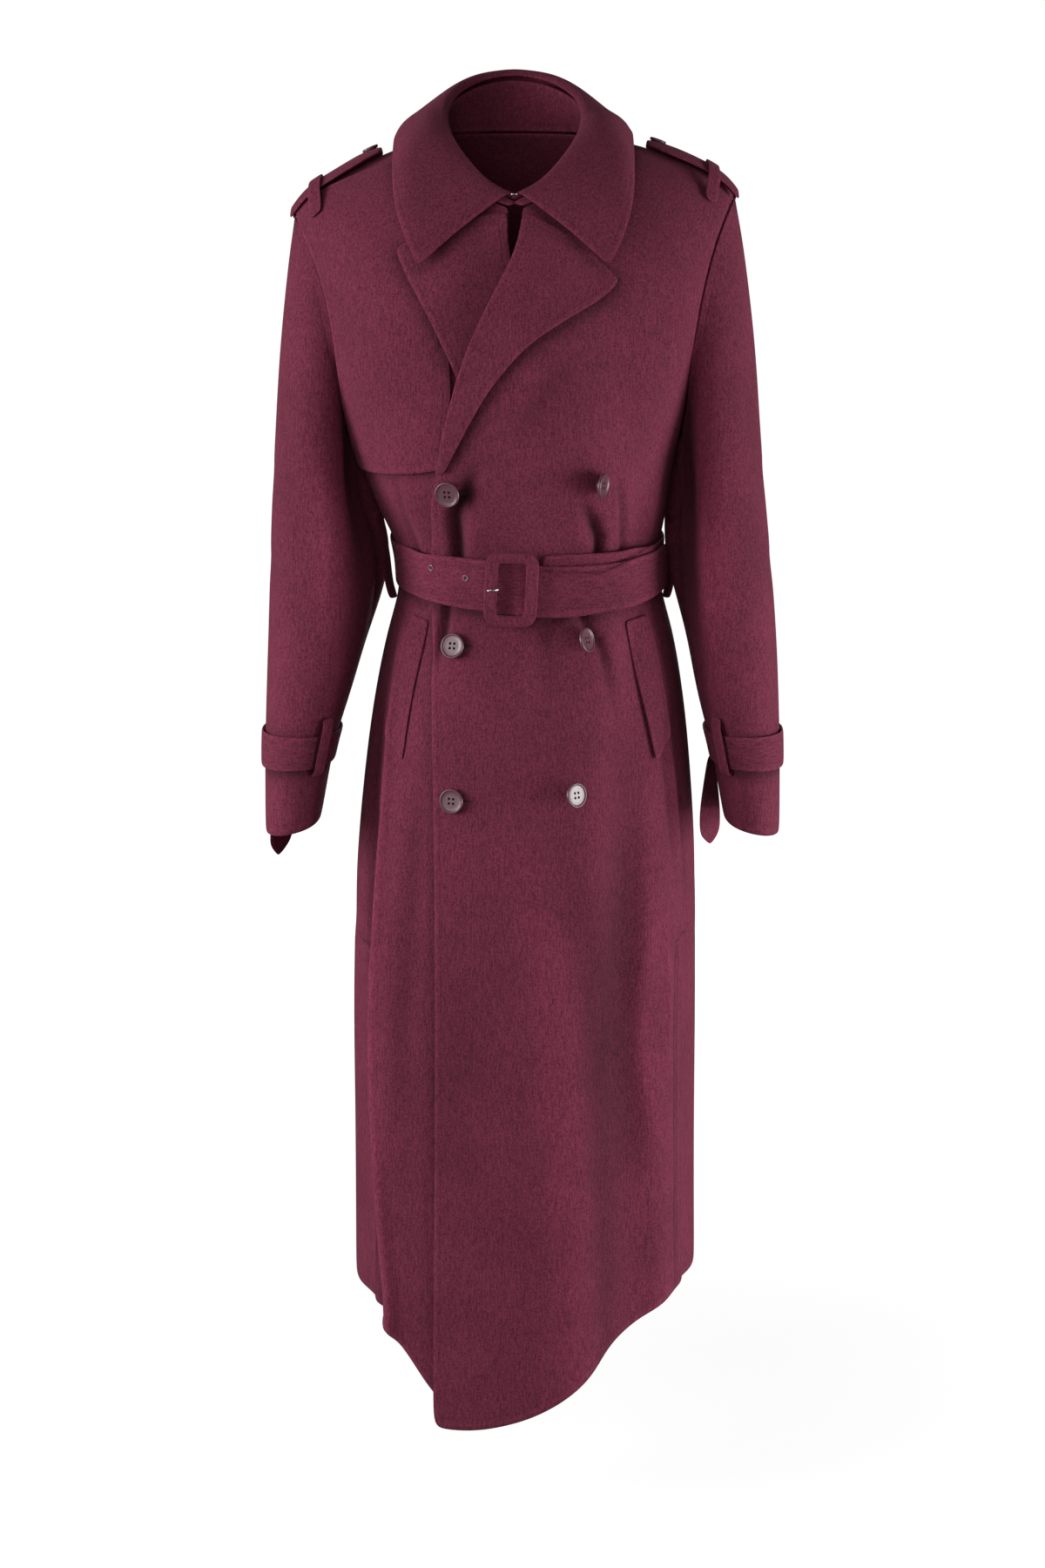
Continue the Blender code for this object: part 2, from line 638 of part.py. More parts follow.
def sleeve_inner(points, centre):
    normals = grid_normals(points, True)
    inner = points - CLOTH * normals
    for j in range(points.shape[1]):
        start = points[-1, j]
        low = 1 - ease(SPLIT_Z, SPLIT_Z + 0.06, start[2])
        towards = unit(centre - start)
        facing = -1 if start[1] < SIDE_Y else 1
        x = start[0] - section(start[2])[0]
        skin = yoke_point(x, start[2], facing, 0.0) - yoke_point(x, start[2], facing, 1.0)
        inner[-1, j] = start + CLOTH * unit((1 - low) * skin + low * towards)
    return inner


for name, sign in (("left", 1), ("right", -1)):
    tube, middle = sleeve_grid(sign)
    if sign < 0:
        tube = np.roll(tube, 1, axis=1)
    shell(name + "_sleeve", tube, sleeve_inner(tube, middle), True)
    levels = np.arange(len(tube))
    count = len(tube) - 1
    strap_rows = [count - 1 - level for level in (STRAP_LAST, (STRAP_FIRST + STRAP_LAST) / 2, STRAP_FIRST)]
    level_rows = []
    for level in strap_rows:
        level_rows.append(spline(levels, tube.reshape(len(tube), -1), level).reshape(-1, 3))
    band = np.array(level_rows)
    band = band + (1.4 * LAYER + CLOTH) * grid_normals(band, True)
    sheet(name + "_sleeve_strap", band, CLOTH, True)
    place = LOOP_COLUMN if sign > 0 else tube.shape[1] - LOOP_COLUMN
    skin = grid_normals(tube, True)
    path = []
    for level, lift in LOOP_PATH:
        row = spline(levels, tube[:, place], count - 1 - level)
        path.append(row + lift * unit(spline(levels, skin[:, place], count - 1 - level)))
    across = unit(tube[3, (place + 1) % tube.shape[1]] - tube[3, place - 1])
    strip(name + "_sleeve_strap_loop", path, across, LOOP_HALF, 0.0018)
    place, half, drop, aside, ahead, twist = TAILS[name]
    start = band[0, place] - np.array((0, 0, 0.0012))
    across = band[0, (place + 1) % tube.shape[1]] - band[0, place - 1]
    heading = math.atan2(across[1], across[0])
    path = []
    turned = []
    for t in (0.0, 0.3, 0.6, 0.87, 1.0):
        path.append(start + np.array((aside * t * t, ahead * t, -drop * t)))
        turn = heading + math.radians(twist) * ease(0.0, 0.6, t)
        turned.append((math.cos(turn), math.sin(turn), 0.0))
    strip(name + "_strap_tail", path, turned, half, CLOTH, 0.001)

# Collar
keys = np.linspace(0, 1, len(ROLL_LINE))
COLLAR_STEPS = 14


def collar_rows(side):
    """Stand and fall rows along one side, front first."""
    top, over, crest, shoulder, upper, middle, low, edge = ([] for _ in range(8))
    lean = -0.008
    for step in range(COLLAR_STEPS + 1):
        share = step / COLLAR_STEPS
        roll = spline(keys, np.array(ROLL_LINE), share)
        x, z = spline(keys, np.array(FALL_EDGE), share)
        facing = -1 if share < 0.5 else 1
        lift = spline(keys, np.array(FALL_LIFT), share)
        bulge = spline(keys, np.array(FALL_BULGE), share)
        ridge = ridge_height(side * x) - 0.00001
        z = min(z, ridge)
        z += (ridge - z) * math.exp(-((share - 0.5) / 0.06) ** 2)
        rim = (yoke_point(side * x, z, facing, lift) - np.array((lean, 0, 0))) * (side, 1, 1)
        away = rim - roll
        flat = unit(np.array((away[0], away[1], 0)))
        up = np.array((0, 0, 1.0))
        mid = 0.5 * (roll + rim) + bulge * unit(0.7 * flat + 0.75 * up)
        foot = 0.48 * mid + 0.52 * rim + 0.30 * bulge * unit(flat + 0.7 * up)
        for point in (mid, foot):
            point[2] = max(point[2], yoke_height(side * point[0], point[1]) + CLOTH + 3 * LAYER)
        inside = roll - STAND_INSET * flat - STAND_DROP * up
        top.append(inside - 0.0027 * up)
        over.append(inside)
        crest.append(roll - 0.0028 * flat - 0.0012 * up)
        shoulder.append(roll + 0.0028 * flat - 0.0006 * up)
        upper.append(0.62 * roll + 0.38 * mid + 0.34 * bulge * unit(0.5 * flat + 0.8 * up))
        middle.append(mid)
        low.append(foot)
        edge.append(rim)
    rows = [np.array(line) for line in (top, over, crest, shoulder, upper, middle, low, edge)]
    for line in rows:
        line[:, 0] *= side
        line[:, 0] += lean
    return rows


right_side = collar_rows(-1)
left_side = collar_rows(1)
lines = [np.concatenate((a, b[::-1][1:])) for a, b in zip(right_side, left_side)]
fall = np.array(lines[1:])[::-1]
sheet("collar", fall, CLOTH)

# Neckline points shared with the panels, right front round the back to the left front
neck_right = right_outer[-1, -6:][::-1]
neck_back = back_outer[-1, 8:17][::-1]
neck_left = left_outer[-1, :6][::-1]
neck_line = np.concatenate((neck_right, neck_back[1:-1], neck_left))
shares = np.concatenate(([0], np.cumsum(np.linalg.norm(np.diff(neck_line, axis=0), axis=1))))
shares = shares / shares[-1]
stand_top = lines[0]
top_shares = np.concatenate(([0], np.cumsum(np.linalg.norm(np.diff(stand_top, axis=0), axis=1))))
top_shares = top_shares / top_shares[-1]
stand_rows = []
for share, base in zip(shares, neck_line):
    crown = spline(top_shares, stand_top, share)
    rise = unit(crown - base)
    start = base + 3.2 * SEAM * rise
    stand_rows.append((start, 0.5 * (start + crown), crown))
stand = np.array(stand_rows).transpose(1, 0, 2)
sheet("collar_stand", stand, CLOTH)


# Lapels
def lapel(name, roll_table, edge_table, sign, swell_height, lift_of):
    edge = np.array(edge_table, float)
    edge_keys = np.linspace(0, 1, len(edge))
    top, bottom = roll_table[-1][0] - 0.004, SPLIT_Z + 0.004
    rows = []
    for i in range(LAPEL_ROWS + 1):
        share = i / LAPEL_ROWS
        z = top + (bottom - top) * share
        start = np.array((column(roll_table, z)[0], z))
        end = spline(edge_keys, edge, share)
        row = []
        for j in range(LAPEL_COLUMNS + 1):
            part = j / LAPEL_COLUMNS
            x, height = start + (end - start) * part
            height += 0.006 * math.sin(math.pi * part) * (1 - share)
            swell = swell_height * math.sin(math.pi * min(1.0, part * 1.15)) * (1 - 0.6 * share)
            row.append(yoke_point(x, height, -1, lift_of(x, height) + swell))
        rows.append(row)
    grid = np.array(rows)[::-1]
    if sign < 0:
        grid = grid[:, ::-1]
    return sheet(name, grid, CLOTH)


def over_lapel_lift(x, z):
    return over_lift(x - 0.006, z) + LAYER + CLOTH + SEAM


def under_lapel_lift(x, z):
    return (CLOTH + LAYER) * (2 - ease(-0.058, -0.036, x))


lapel("left_lapel", OVER_ROLL, LEFT_LAPEL_EDGE, 1, 0.0030, over_lapel_lift)
lapel("right_lapel", UNDER_ROLL, RIGHT_LAPEL_EDGE, -1, 0.0006, under_lapel_lift)

# Storm flap
flap_shares = yoke_shares()
flap_arm = []
flap_front = []
for share in flap_shares:
    z = -0.3140 + (SHOULDER_Z - FLAP_TOP_DROP + 0.3140) * share
    flap_arm.append((0.0022 - column(ARMHOLE, z)[0], z))
    z = -0.3085 + (-0.0060 - FLAP_TOP_DROP + 0.3085) * share
    flap_front.append((column(FLAP_FRONT, z)[0], z))
flap_low = []
flap_high = []
for part in np.linspace(0, 1, 10):
    corner = 0.0060 * (1 - math.sin(math.pi * (0.04 + 0.92 * part)) ** 0.5)
    flap_low.append(np.array(flap_arm[0]) * (1 - part) + np.array(flap_front[0]) * part + (0, corner - 0.0035))
    x = flap_arm[-1][0] * (1 - part) + flap_front[-1][0] * part
    flap_high.append((x, ridge_height(x) - FLAP_TOP_DROP - 0.016 * part))
flap_arm[0], flap_front[0] = flap_low[0], flap_low[-1]
flap_arm[-1], flap_front[-1] = flap_high[0], flap_high[-1]
flap_rows = []
for share, line in zip(flap_shares, patch(flap_low, flap_high, flap_arm, flap_front)):
    lower = CLOTH + LAYER + 0.0025 * (1 - share) ** 4
    flap_rows.append([yoke_point(x, z, -1, lower) for x, z in line])
sheet("storm_flap", np.array(flap_rows), CLOTH)

# Epaulettes, their loops and buttons
for name, sign in (("left", 1), ("right", -1)):
    rows = []
    places = np.linspace(0.1300, 0.2200, 9)
    for x in places:
        end = ease(0.128, 0.150, x) * (1 - 0.7 * ease(0.200, 0.226, x))
        half = 14 + 5 * ease(0.130, 0.148, x)
        lift = 0.0050 + 0.0030 * end + 0.0020 * (1 - ease(0.130, 0.180, x))
        row = []
        for part in np.linspace(-1, 1, 7):
            facing = -1 if part < 0 else 1
            roll = 90 - half * abs(part)
            row.append(yoke_roll_point(sign * x, roll, facing, lift))
        rows.append(row)
    grid = np.array(rows).transpose(1, 0, 2)
    sheet(name + "_epaulette", grid if sign > 0 else grid[:, ::-1], CLOTH)
    loop_rows = []
    for x in (0.1870, 0.1990):
        row = []
        for part in np.linspace(-1, 1, 13):
            facing = -1 if part < 0 else 1
            roll = 90 - 36 * abs(part)
            rise = 1 - ease(0.56, 0.90, abs(part))
            low = 0.0026 if sign > 0 or part > 0 else 0.0062
            row.append(yoke_roll_point(sign * x, roll, facing, low + (0.0110 - low) * rise))
        loop_rows.append(row)
    grid = np.array(loop_rows).transpose(1, 0, 2)
    sheet(name + "_epaulette_loop", grid if sign > 0 else grid[:, ::-1], 0.0018)


def seat_distance(holder, origin, direction, radius):
    """Shortest distance along direction from a disc at origin to the named piece."""
    mesh = bpy.data.objects[holder].data
    mesh.calc_loop_triangles()
    tree = BVHTree.FromPolygons([v.co for v in mesh.vertices], [t.vertices for t in mesh.loop_triangles])
    across = radius * unit(np.cross(direction, (0.0, 0.0, 1.0)))
    along = np.cross(direction, across)
    turns = [k * math.pi / 6 for k in range(12)]
    return min(tree.ray_cast(origin + math.cos(a) * across + math.sin(a) * along, direction)[3] for a in turns)


def turned_button(name, radius, thickness, centre, normal, holder):
    """Turned button on a short thread stem that ends just off the piece that holds it."""
    stem = seat_distance(holder, np.asarray(centre), -unit(np.asarray(normal, float)), 0.17 * radius) - SEAM
    profile = bpy.data.meshes.new(name)
    build = bmesh.new()
    outline = (
        (0.62, 0), (0.93, 0.22), (1.0, 0.50), (0.97, 0.82), (0.84, 1.0), (0.70, 0.92), (0.60, 0.70), (0, 0.66),
    )
    points = [build.verts.new((radius * r, 0, h)) for r, h in ((0, -stem), (0.16, -stem), (0.16, 0))]
    points += [build.verts.new((radius * r, 0, thickness * h)) for r, h in outline]
    edges = [build.edges.new(pair) for pair in zip(points, points[1:])]
    bmesh.ops.spin(build, geom=points + edges, axis=(0, 0, 1), cent=(0, 0, 0), steps=14, angle=2 * math.pi)
    bmesh.ops.remove_doubles(build, verts=build.verts, dist=0.00001)
    bmesh.ops.dissolve_degenerate(build, dist=0.00001, edges=build.edges)
    face_outward(build)
    ahead = unit(np.asarray(normal, float))
    side = unit(np.cross((0, 0, 1.0), ahead))
    up = np.cross(ahead, side)
    for vert in build.verts:
        x, y, z = vert.co
        vert.co = centre + side * x + up * y + ahead * z
    build.to_mesh(profile)
    build.free()
    return finish_object(name, profile, HORN, 0.3)


for name, x, z, turn in FRONT_BUTTONS:
    angle = angle_of(x, z)
    lift = over_lift(x, z) if x > OVER_EDGE[3][1] else 0.0
    skin = body_normal(angle, z)
    bend = math.radians(turn)
    facing = np.array((
        skin[0] * math.cos(bend) - skin[1] * math.sin(bend),
        skin[0] * math.sin(bend) + skin[1] * math.cos(bend),
        skin[2],
    ))
    reach = 0.0013 + BUTTON_RADIUS * abs(math.sin(bend)) * 0.8
    turned_button(name, BUTTON_RADIUS, 0.0050, body_point(angle, z, lift + reach), facing, "left_front")
for name, sign in (("left", 1), ("right", -1)):
    root = yoke_roll_point(sign * 0.1400, 89.5, -1, 0.0100)
    top = yoke_roll_point(sign * 0.1400, 89.5, -1, 1.0)
    turned_button(name + "_epaulette_button", SMALL_BUTTON_RADIUS, 0.0040, root, top - root, name + "_epaulette")


# Belt, one strap from the buckle round the back and over itself
def belt_lift(angle):
    wrapped = angle - 360 if angle > 262 else angle
    base = 0.0018 + 0.0052 * (ease(-54, -46, wrapped) if wrapped < 0 else 1 - ease(54, 66, wrapped))
    if angle > 322:
        base = 0.0070 - 0.0052 * ease(54, 66, angle - 360) + 0.0046 * ease(334, 356, angle)
    return base


def belt_height(angle):
    turn = math.radians(angle)
    middle = -0.4080 - 0.0110 * math.cos(turn)
    if angle > 322:
        middle -= 0.0060 * ease(345, 372, angle) - 0.004 * ease(390, 430, angle)
    else:
        middle += 0.0045 * (1 - ease(20, 100, angle))
    return middle


belt_angles = np.concatenate((np.linspace(4, 356, 45), np.linspace(364, 436, 10)))
belt_rows = []
for width in (-1, 0, 1):
    row = []
    for angle in belt_angles:
        turn = angle - 360 if angle > 262 else angle
        z = belt_height(angle) + width * BELT_HALF
        row.append(body_point(turn, z, belt_lift(angle) + BELT_THICK))
    belt_rows.append(row)
belt_grid = np.array(belt_rows)
belt_grid[1, -1] += 0.6 * (belt_grid[1, -1] - belt_grid[1, -2])
sheet("belt", belt_grid, BELT_THICK)


# Belt buckle, a covered frame with rounded corners
def rounded_loop(curve, half_x, half_z, corner, steps):
    points = []
    for quarter, (cx, cz) in enumerate(((1, 1), (-1, 1), (-1, -1), (1, -1))):
        for step in range(steps + 1):
            turn = math.pi / 2 * (quarter + step / steps)
            x = cx * (half_x - corner) + corner * math.cos(turn)
            z = cz * (half_z - corner) + corner * math.sin(turn)
            points.append((x, z))
    line = curve.splines.new("POLY")
    line.points.add(len(points) - 1)
    for point, (x, z) in zip(line.points, points):
        point.co = (x, z, 0, 1)
    line.use_cyclic_u = True


curve = bpy.data.curves.new("belt_buckle", "CURVE")
curve.dimensions = "2D"
curve.fill_mode = "BOTH"
rounded_loop(curve, *BUCKLE_OUTER, 0.0110, 4)
rounded_loop(curve, *BUCKLE_INNER, 0.0050, 3)
curve.extrude = 0.0012
curve.bevel_depth = 0.0018
curve.bevel_resolution = 1
frame_object = bpy.data.objects.new("belt_buckle_curve", curve)
coat.objects.link(frame_object)
bpy.context.view_layer.update()
frame_mesh = bpy.data.meshes.new_from_object(frame_object.evaluated_get(bpy.context.evaluated_depsgraph_get()))
bpy.data.objects.remove(frame_object)
seat = body_point(angle_of(BUCKLE_X, BUCKLE_Z), BUCKLE_Z, 0.0)
buckle_y = seat[1] - 0.0070 - 0.0046 - BELT_THICK - 0.0084
tilt = math.radians(BUCKLE_TILT)
build = bmesh.new()
build.from_mesh(frame_mesh)
bmesh.ops.remove_doubles(build, verts=build.verts, dist=0.00001)
for vert in build.verts:
    x, z, rise = vert.co
    bow = 3.0 * x * x
    across = BUCKLE_X + x * math.cos(tilt) + z * math.sin(tilt)
    upright = BUCKLE_Z - x * math.sin(tilt) + z * math.cos(tilt)
    vert.co = (across, buckle_y - rise + bow, upright)
face_outward(build)
build.to_mesh(frame_mesh)
build.free()
finish_object("belt_buckle", frame_mesh, WOOL)


# Wire pieces
def wire(name, points, radius, colour):
    line = bpy.data.curves.new(name, "CURVE")
    line.dimensions = "3D"
    line.bevel_depth = radius
    line.bevel_resolution = 1
    line.use_fill_caps = True
    path = line.splines.new("POLY")
    path.points.add(len(points) - 1)
    for point, place in zip(path.points, points):
        point.co = (*place, 1)
    holder = bpy.data.objects.new(name + "_curve", line)
    coat.objects.link(holder)
    bpy.context.view_layer.update()
    mesh = bpy.data.meshes.new_from_object(holder.evaluated_get(bpy.context.evaluated_depsgraph_get()))
    bpy.data.objects.remove(holder)
    tidy = bmesh.new()
    tidy.from_mesh(mesh)
    bmesh.ops.remove_doubles(tidy, verts=tidy.verts, dist=0.00001)
    face_outward(tidy)
    tidy.to_mesh(mesh)
    tidy.free()
    return finish_object(name, mesh, colour, 0.3, 1.0)


prong_y = buckle_y - 0.0042
wire("buckle_prong", (
    (BUCKLE_X - 0.0115, prong_y + 0.0036, BUCKLE_Z + 0.0005),
    (BUCKLE_X - 0.0148, prong_y - 0.0004, BUCKLE_Z + 0.0004),
    (BUCKLE_X - 0.0185, prong_y - 0.0016, BUCKLE_Z + 0.0003),
    (BUCKLE_X - 0.0235, prong_y - 0.0014, BUCKLE_Z),
), 0.0014, STEEL)

# Belt loops at the sides
for name, angle in (("left", 88.0), ("right", -88.0)):
    rows = []
    for spread in (-2.4, 2.4):
        rows.append([body_point(angle + spread, z, lift) for z, lift in BELT_LOOP])
    sheet(name + "_belt_loop", np.array(rows).transpose(1, 0, 2)[::-1], 0.0020)

# Pocket welts, slanted strips set by angle and height
for name, sign in (("left", 1), ("right", -1)):
    rows = []
    for v in np.linspace(0, 1, 6):
        row = []
        for u in np.linspace(0, 1, 5):
            low = np.array((46.0 + 10.5 * u, -0.604 + 0.024 * u))
            high = np.array((38.0 + 15.5 * u + (6.0 - 5.0 * u) * (sign < 0), -0.462 + 0.004 * u))
            angle, z = low + (high - low) * v
            place = body_base(sign * angle, z)
            lift = over_lift(place[0], z) if sign > 0 else 0.0
            gap = 2 * LAYER if sign > 0 else 1.4 * LAYER
            row.append(body_point(sign * angle, z, lift + gap + CLOTH))
        rows.append(row)
    grid = np.array(rows)
    sheet(name + "_pocket_welt", grid if sign > 0 else grid[:, ::-1], CLOTH)

# Hook at the neck
wire("neck_hook", (
    (-0.0111, -0.1042, -0.0500),
    (-0.0095, -0.1056, -0.0498),
    (-0.0065, -0.1056, -0.0498),
    (-0.0049, -0.1042, -0.0500),
), 0.0008, STEEL)
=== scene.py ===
"""Belted burgundy wool coat: cloth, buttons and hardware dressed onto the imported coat."""
import math

import bmesh
import bpy
import numpy as np
from mathutils import Matrix, Vector
from mathutils.bvhtree import BVHTree
from mathutils.kdtree import KDTree


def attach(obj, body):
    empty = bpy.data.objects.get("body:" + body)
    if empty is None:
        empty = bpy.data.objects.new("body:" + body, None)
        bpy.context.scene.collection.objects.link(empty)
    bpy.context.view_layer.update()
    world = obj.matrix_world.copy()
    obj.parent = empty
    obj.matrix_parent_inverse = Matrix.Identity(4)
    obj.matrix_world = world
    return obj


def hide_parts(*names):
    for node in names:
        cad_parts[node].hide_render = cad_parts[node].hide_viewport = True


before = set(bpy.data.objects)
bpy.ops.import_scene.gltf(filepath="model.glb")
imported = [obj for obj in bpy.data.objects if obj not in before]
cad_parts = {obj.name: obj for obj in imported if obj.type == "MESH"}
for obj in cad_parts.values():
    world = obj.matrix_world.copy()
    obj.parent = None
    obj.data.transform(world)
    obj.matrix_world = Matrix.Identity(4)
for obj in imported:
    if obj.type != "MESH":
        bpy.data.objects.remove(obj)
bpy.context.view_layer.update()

bl_info = {
    "name": "Belted Wool Coat",
    "version": (1, 0, 0),
    "blender": (4, 5, 0),
    "location": "View3D > Sidebar > Coat",
    "description": "Dresses a belted wool coat with cloth, buttons and hardware",
    "category": "Object",
}

# Middle line of the body, and of each sleeve from shoulder to cuff: x, y, z
BODY_MIDDLE = ((-0.006, 0.0, 0.10), (-0.006, 0.0, -0.30), (0.008, -0.008, -0.42), (0.003, 0.0, -1.30))
LEFT_SLEEVE_MIDDLE = (
    (0.198, 0.014, -0.10), (0.204, 0.0, -0.30), (0.214, -0.022, -0.45), (0.237, -0.053, -0.68),
)
RIGHT_SLEEVE_MIDDLE = (
    (-0.206, 0.014, -0.10), (-0.208, 0.0, -0.30), (-0.210, -0.022, -0.45), (-0.237, -0.053, -0.68),
)

# Radius that turns an angle into a distance along the cloth, round the body and round a sleeve
BODY_RADIUS = 0.16
SLEEVE_RADIUS = 0.045

# Heights of the belt's lower and upper edge in front, and of the lowest folds at the hem
BELT_LOW = -0.445
BELT_HIGH = -0.395
HEM_FOLDS = -1.25

# Share of a fold's path over which it fades out
FOLD_FADE = 0.45

# Deepest trough and highest crest that the painted shade and highlight of the wool follow
FOLD_FLOOR = -0.010
FOLD_CREST = 0.005

# Distance stored where a piece has no cut edge or sewn line nearby
FAR = 0.05

# Edges shorter than this mark the cut edge of the cloth
WALL_LIMIT = 0.0034

# Soft folds of the body: path of angle in degrees and height, half width and height of the fold
BODY_FOLDS = (
    # Pulled in above the belt, in front
    (((-10.0, -0.290), (-20.5, -0.330), (-28.0, -0.357), (-34.5, -0.410)), 0.0085, -0.0105),
    (((20.0, -0.195), (8.0, -0.245), (-6.0, -0.290)), 0.0130, -0.0028),
    (((-17.0, -0.340), (-22.0, -0.372), (-25.0, -0.394)), 0.0090, 0.0024),
    (((20.0, -0.325), (28.2, -0.360), (32.2, -0.377), (34.5, -0.410)), 0.0070, -0.0090),
    (((20.0, -0.345), (24.0, -0.372), (26.0, -0.394)), 0.0090, 0.0022),
    (((37.0, -0.305), (42.9, -0.348), (49.0, -0.410)), 0.0060, -0.0046),
    (((-50.0, -0.300), (-55.0, -0.352), (-58.0, -0.405)), 0.0080, -0.0034),
    # Let out below the belt, in front
    (((-40.5, -0.520), (-40.0, -0.462), (-39.5, -0.430)), 0.0070, -0.0088),
    (((37.0, -0.570), (30.5, -0.483), (27.2, -0.468), (20.0, -0.435)), 0.0075, -0.0068),
    (((7.0, -0.560), (8.0, -0.490), (10.0, -0.430)), 0.0120, -0.0022),
    # Long folds of the skirt, in front
    (((-63.0, -0.450), (-64.0, -0.473), (-61.7, -0.540), (-58.0, -0.669), (-56.0, -0.859), (-55.0, -0.950),
      (-51.0, -1.032), (-45.0, -1.170), (-43.0, -1.290)), 0.0065, 0.0066),
    (((-73.0, -0.470), (-71.5, -0.545), (-67.0, -0.672), (-64.5, -0.860), (-63.5, -0.950), (-59.0, -1.040),
      (-53.0, -1.170), (-50.0, -1.290)), 0.0105, -0.0090),
    (((-42.0, -0.540), (-43.0, -0.700), (-43.0, -0.900), (-40.0, -1.100)), 0.0120, -0.0026),
    (((-3.0, -0.640), (2.0, -0.720), (6.6, -0.800), (11.7, -0.972), (13.4, -1.060),
      (13.4, -1.290)), 0.0230, 0.0042),
    (((14.0, -0.640), (20.6, -0.800), (22.5, -0.976), (26.0, -1.280)), 0.0200, -0.0044),
    (((36.0, -0.540), (35.0, -0.700), (31.5, -0.860), (33.0, -0.980), (27.0, -1.120)), 0.0230, -0.0056),
    (((47.0, -0.580), (45.3, -0.745), (40.0, -0.883), (43.0, -0.990), (34.0, -1.120)), 0.0130, 0.0044),
    (((-24.0, -0.680), (-22.0, -0.900), (-24.0, -1.140)), 0.0260, -0.0022),
    (((56.5, -0.530), (57.5, -0.640), (58.5, -0.740)), 0.0040, -0.0026),
    (((61.0, -0.530), (62.5, -0.660), (62.0, -0.760)), 0.0040, 0.0022),
    (((66.0, -0.540), (67.0, -0.690), (66.5, -0.790)), 0.0042, -0.0022),
    (((52.0, -0.740), (52.5, -0.853), (50.0, -0.950)), 0.0040, 0.0018),
    # Pulled in above and let out below the belt, behind
    (((116.0, -0.240), (119.0, -0.330), (121.0, -0.410)), 0.0100, -0.0034),
    (((140.0, -0.200), (147.0, -0.320), (150.0, -0.410)), 0.0125, -0.0046),
    (((168.0, -0.260), (163.0, -0.350), (161.0, -0.410)), 0.0100, -0.0030),
    (((-171.0, -0.230), (-167.0, -0.340), (-168.0, -0.410)), 0.0110, -0.0038),
    (((-134.0, -0.210), (-142.0, -0.330), (-145.0, -0.410)), 0.0120, -0.0044),
    (((-110.0, -0.250), (-116.0, -0.345), (-119.0, -0.410)), 0.0100, -0.0030),
    (((117.0, -0.640), (119.0, -0.520), (123.0, -0.430)), 0.0120, -0.0034),
    (((158.0, -0.660), (155.0, -0.520), (151.0, -0.430)), 0.0130, -0.0042),
    (((-153.0, -0.680), (-156.0, -0.530), (-160.0, -0.430)), 0.0125, -0.0040),
    (((-136.0, -0.620), (-132.0, -0.510), (-127.0, -0.430)), 0.0120, -0.0036),
    # Long folds of the skirt, behind
    (((104.0, -0.560), (107.0, -0.760), (106.0, -0.980), (109.0, -1.290)), 0.0220, 0.0036),
    (((131.0, -0.540), (128.0, -0.740), (130.0, -0.960), (127.0, -1.290)), 0.0250, -0.0042),
    (((157.0, -0.560), (160.0, -0.800), (158.0, -1.020), (161.0, -1.290)), 0.0250, 0.0040),
    (((-163.0, -0.560), (-160.0, -0.780), (-163.0, -1.000), (-160.0, -1.290)), 0.0230, -0.0036),
    (((-137.0, -0.550), (-139.0, -0.760), (-136.0, -0.980), (-139.0, -1.290)), 0.0250, 0.0042),
    (((-112.0, -0.560), (-109.0, -0.740), (-112.0, -0.960), (-110.0, -1.290)), 0.0220, -0.0036),
)

# Soft folds of a sleeve: path of angle from its outer side to the front and height, half width and height
SLEEVE_FOLDS = (
    (((94.0, -0.110), (102.0, -0.200), (106.0, -0.300), (106.0, -0.420), (110.0, -0.500),
      (116.0, -0.575)), 0.0110, 0.0058),
    (((126.0, -0.130), (134.0, -0.230), (139.0, -0.330), (138.0, -0.430), (140.0, -0.540)), 0.0130, -0.0070),
    (((60.0, -0.140), (66.0, -0.260), (70.0, -0.380), (64.0, -0.500)), 0.0130, -0.0022),
    (((8.0, -0.300), (40.0, -0.338), (70.0, -0.346)), 0.0110, -0.0014),
    (((0.0, -0.390), (36.0, -0.420), (72.0, -0.424)), 0.0120, -0.0016),
    (((-20.0, -0.360), (-62.0, -0.392), (-105.0, -0.386)), 0.0110, -0.0034),
    (((-30.0, -0.425), (-75.0, -0.444), (-118.0, -0.430)), 0.0110, -0.0032),
    (((-40.0, -0.482), (-80.0, -0.496), (-115.0, -0.488)), 0.0100, -0.0024),
    (((-60.0, -0.160), (-72.0, -0.240), (-80.0, -0.320)), 0.0140, -0.0030),
)

# Fullness behind the arms, which closes the view beside the waist
SLEEVE_FULLNESS = (
    (((-148.0, -0.230), (-149.0, -0.300), (-151.0, -0.370), (-154.0, -0.440),
      (-156.0, -0.520)), 0.0190, 0.0150),
)

# Sewn lines of the body: path of angle in degrees and height
BODY_SEAMS = (
    ((75.0, -0.781), (57.5, -0.794), (54.5, -0.900), (54.0, -1.020), (53.5, -1.170), (53.3, -1.310)),
    ((59.5, -0.798), (56.4, -0.900), (55.8, -1.020), (55.2, -1.170), (55.0, -1.310)),
    ((-80.0, -0.796), (-66.0, -0.806), (-63.5, -0.900), (-61.5, -1.020), (-58.5, -1.160), (-57.0, -1.300)),
    ((-75.0, -0.4525), (-67.1, -0.4588), (-60.1, -0.4662)),
)

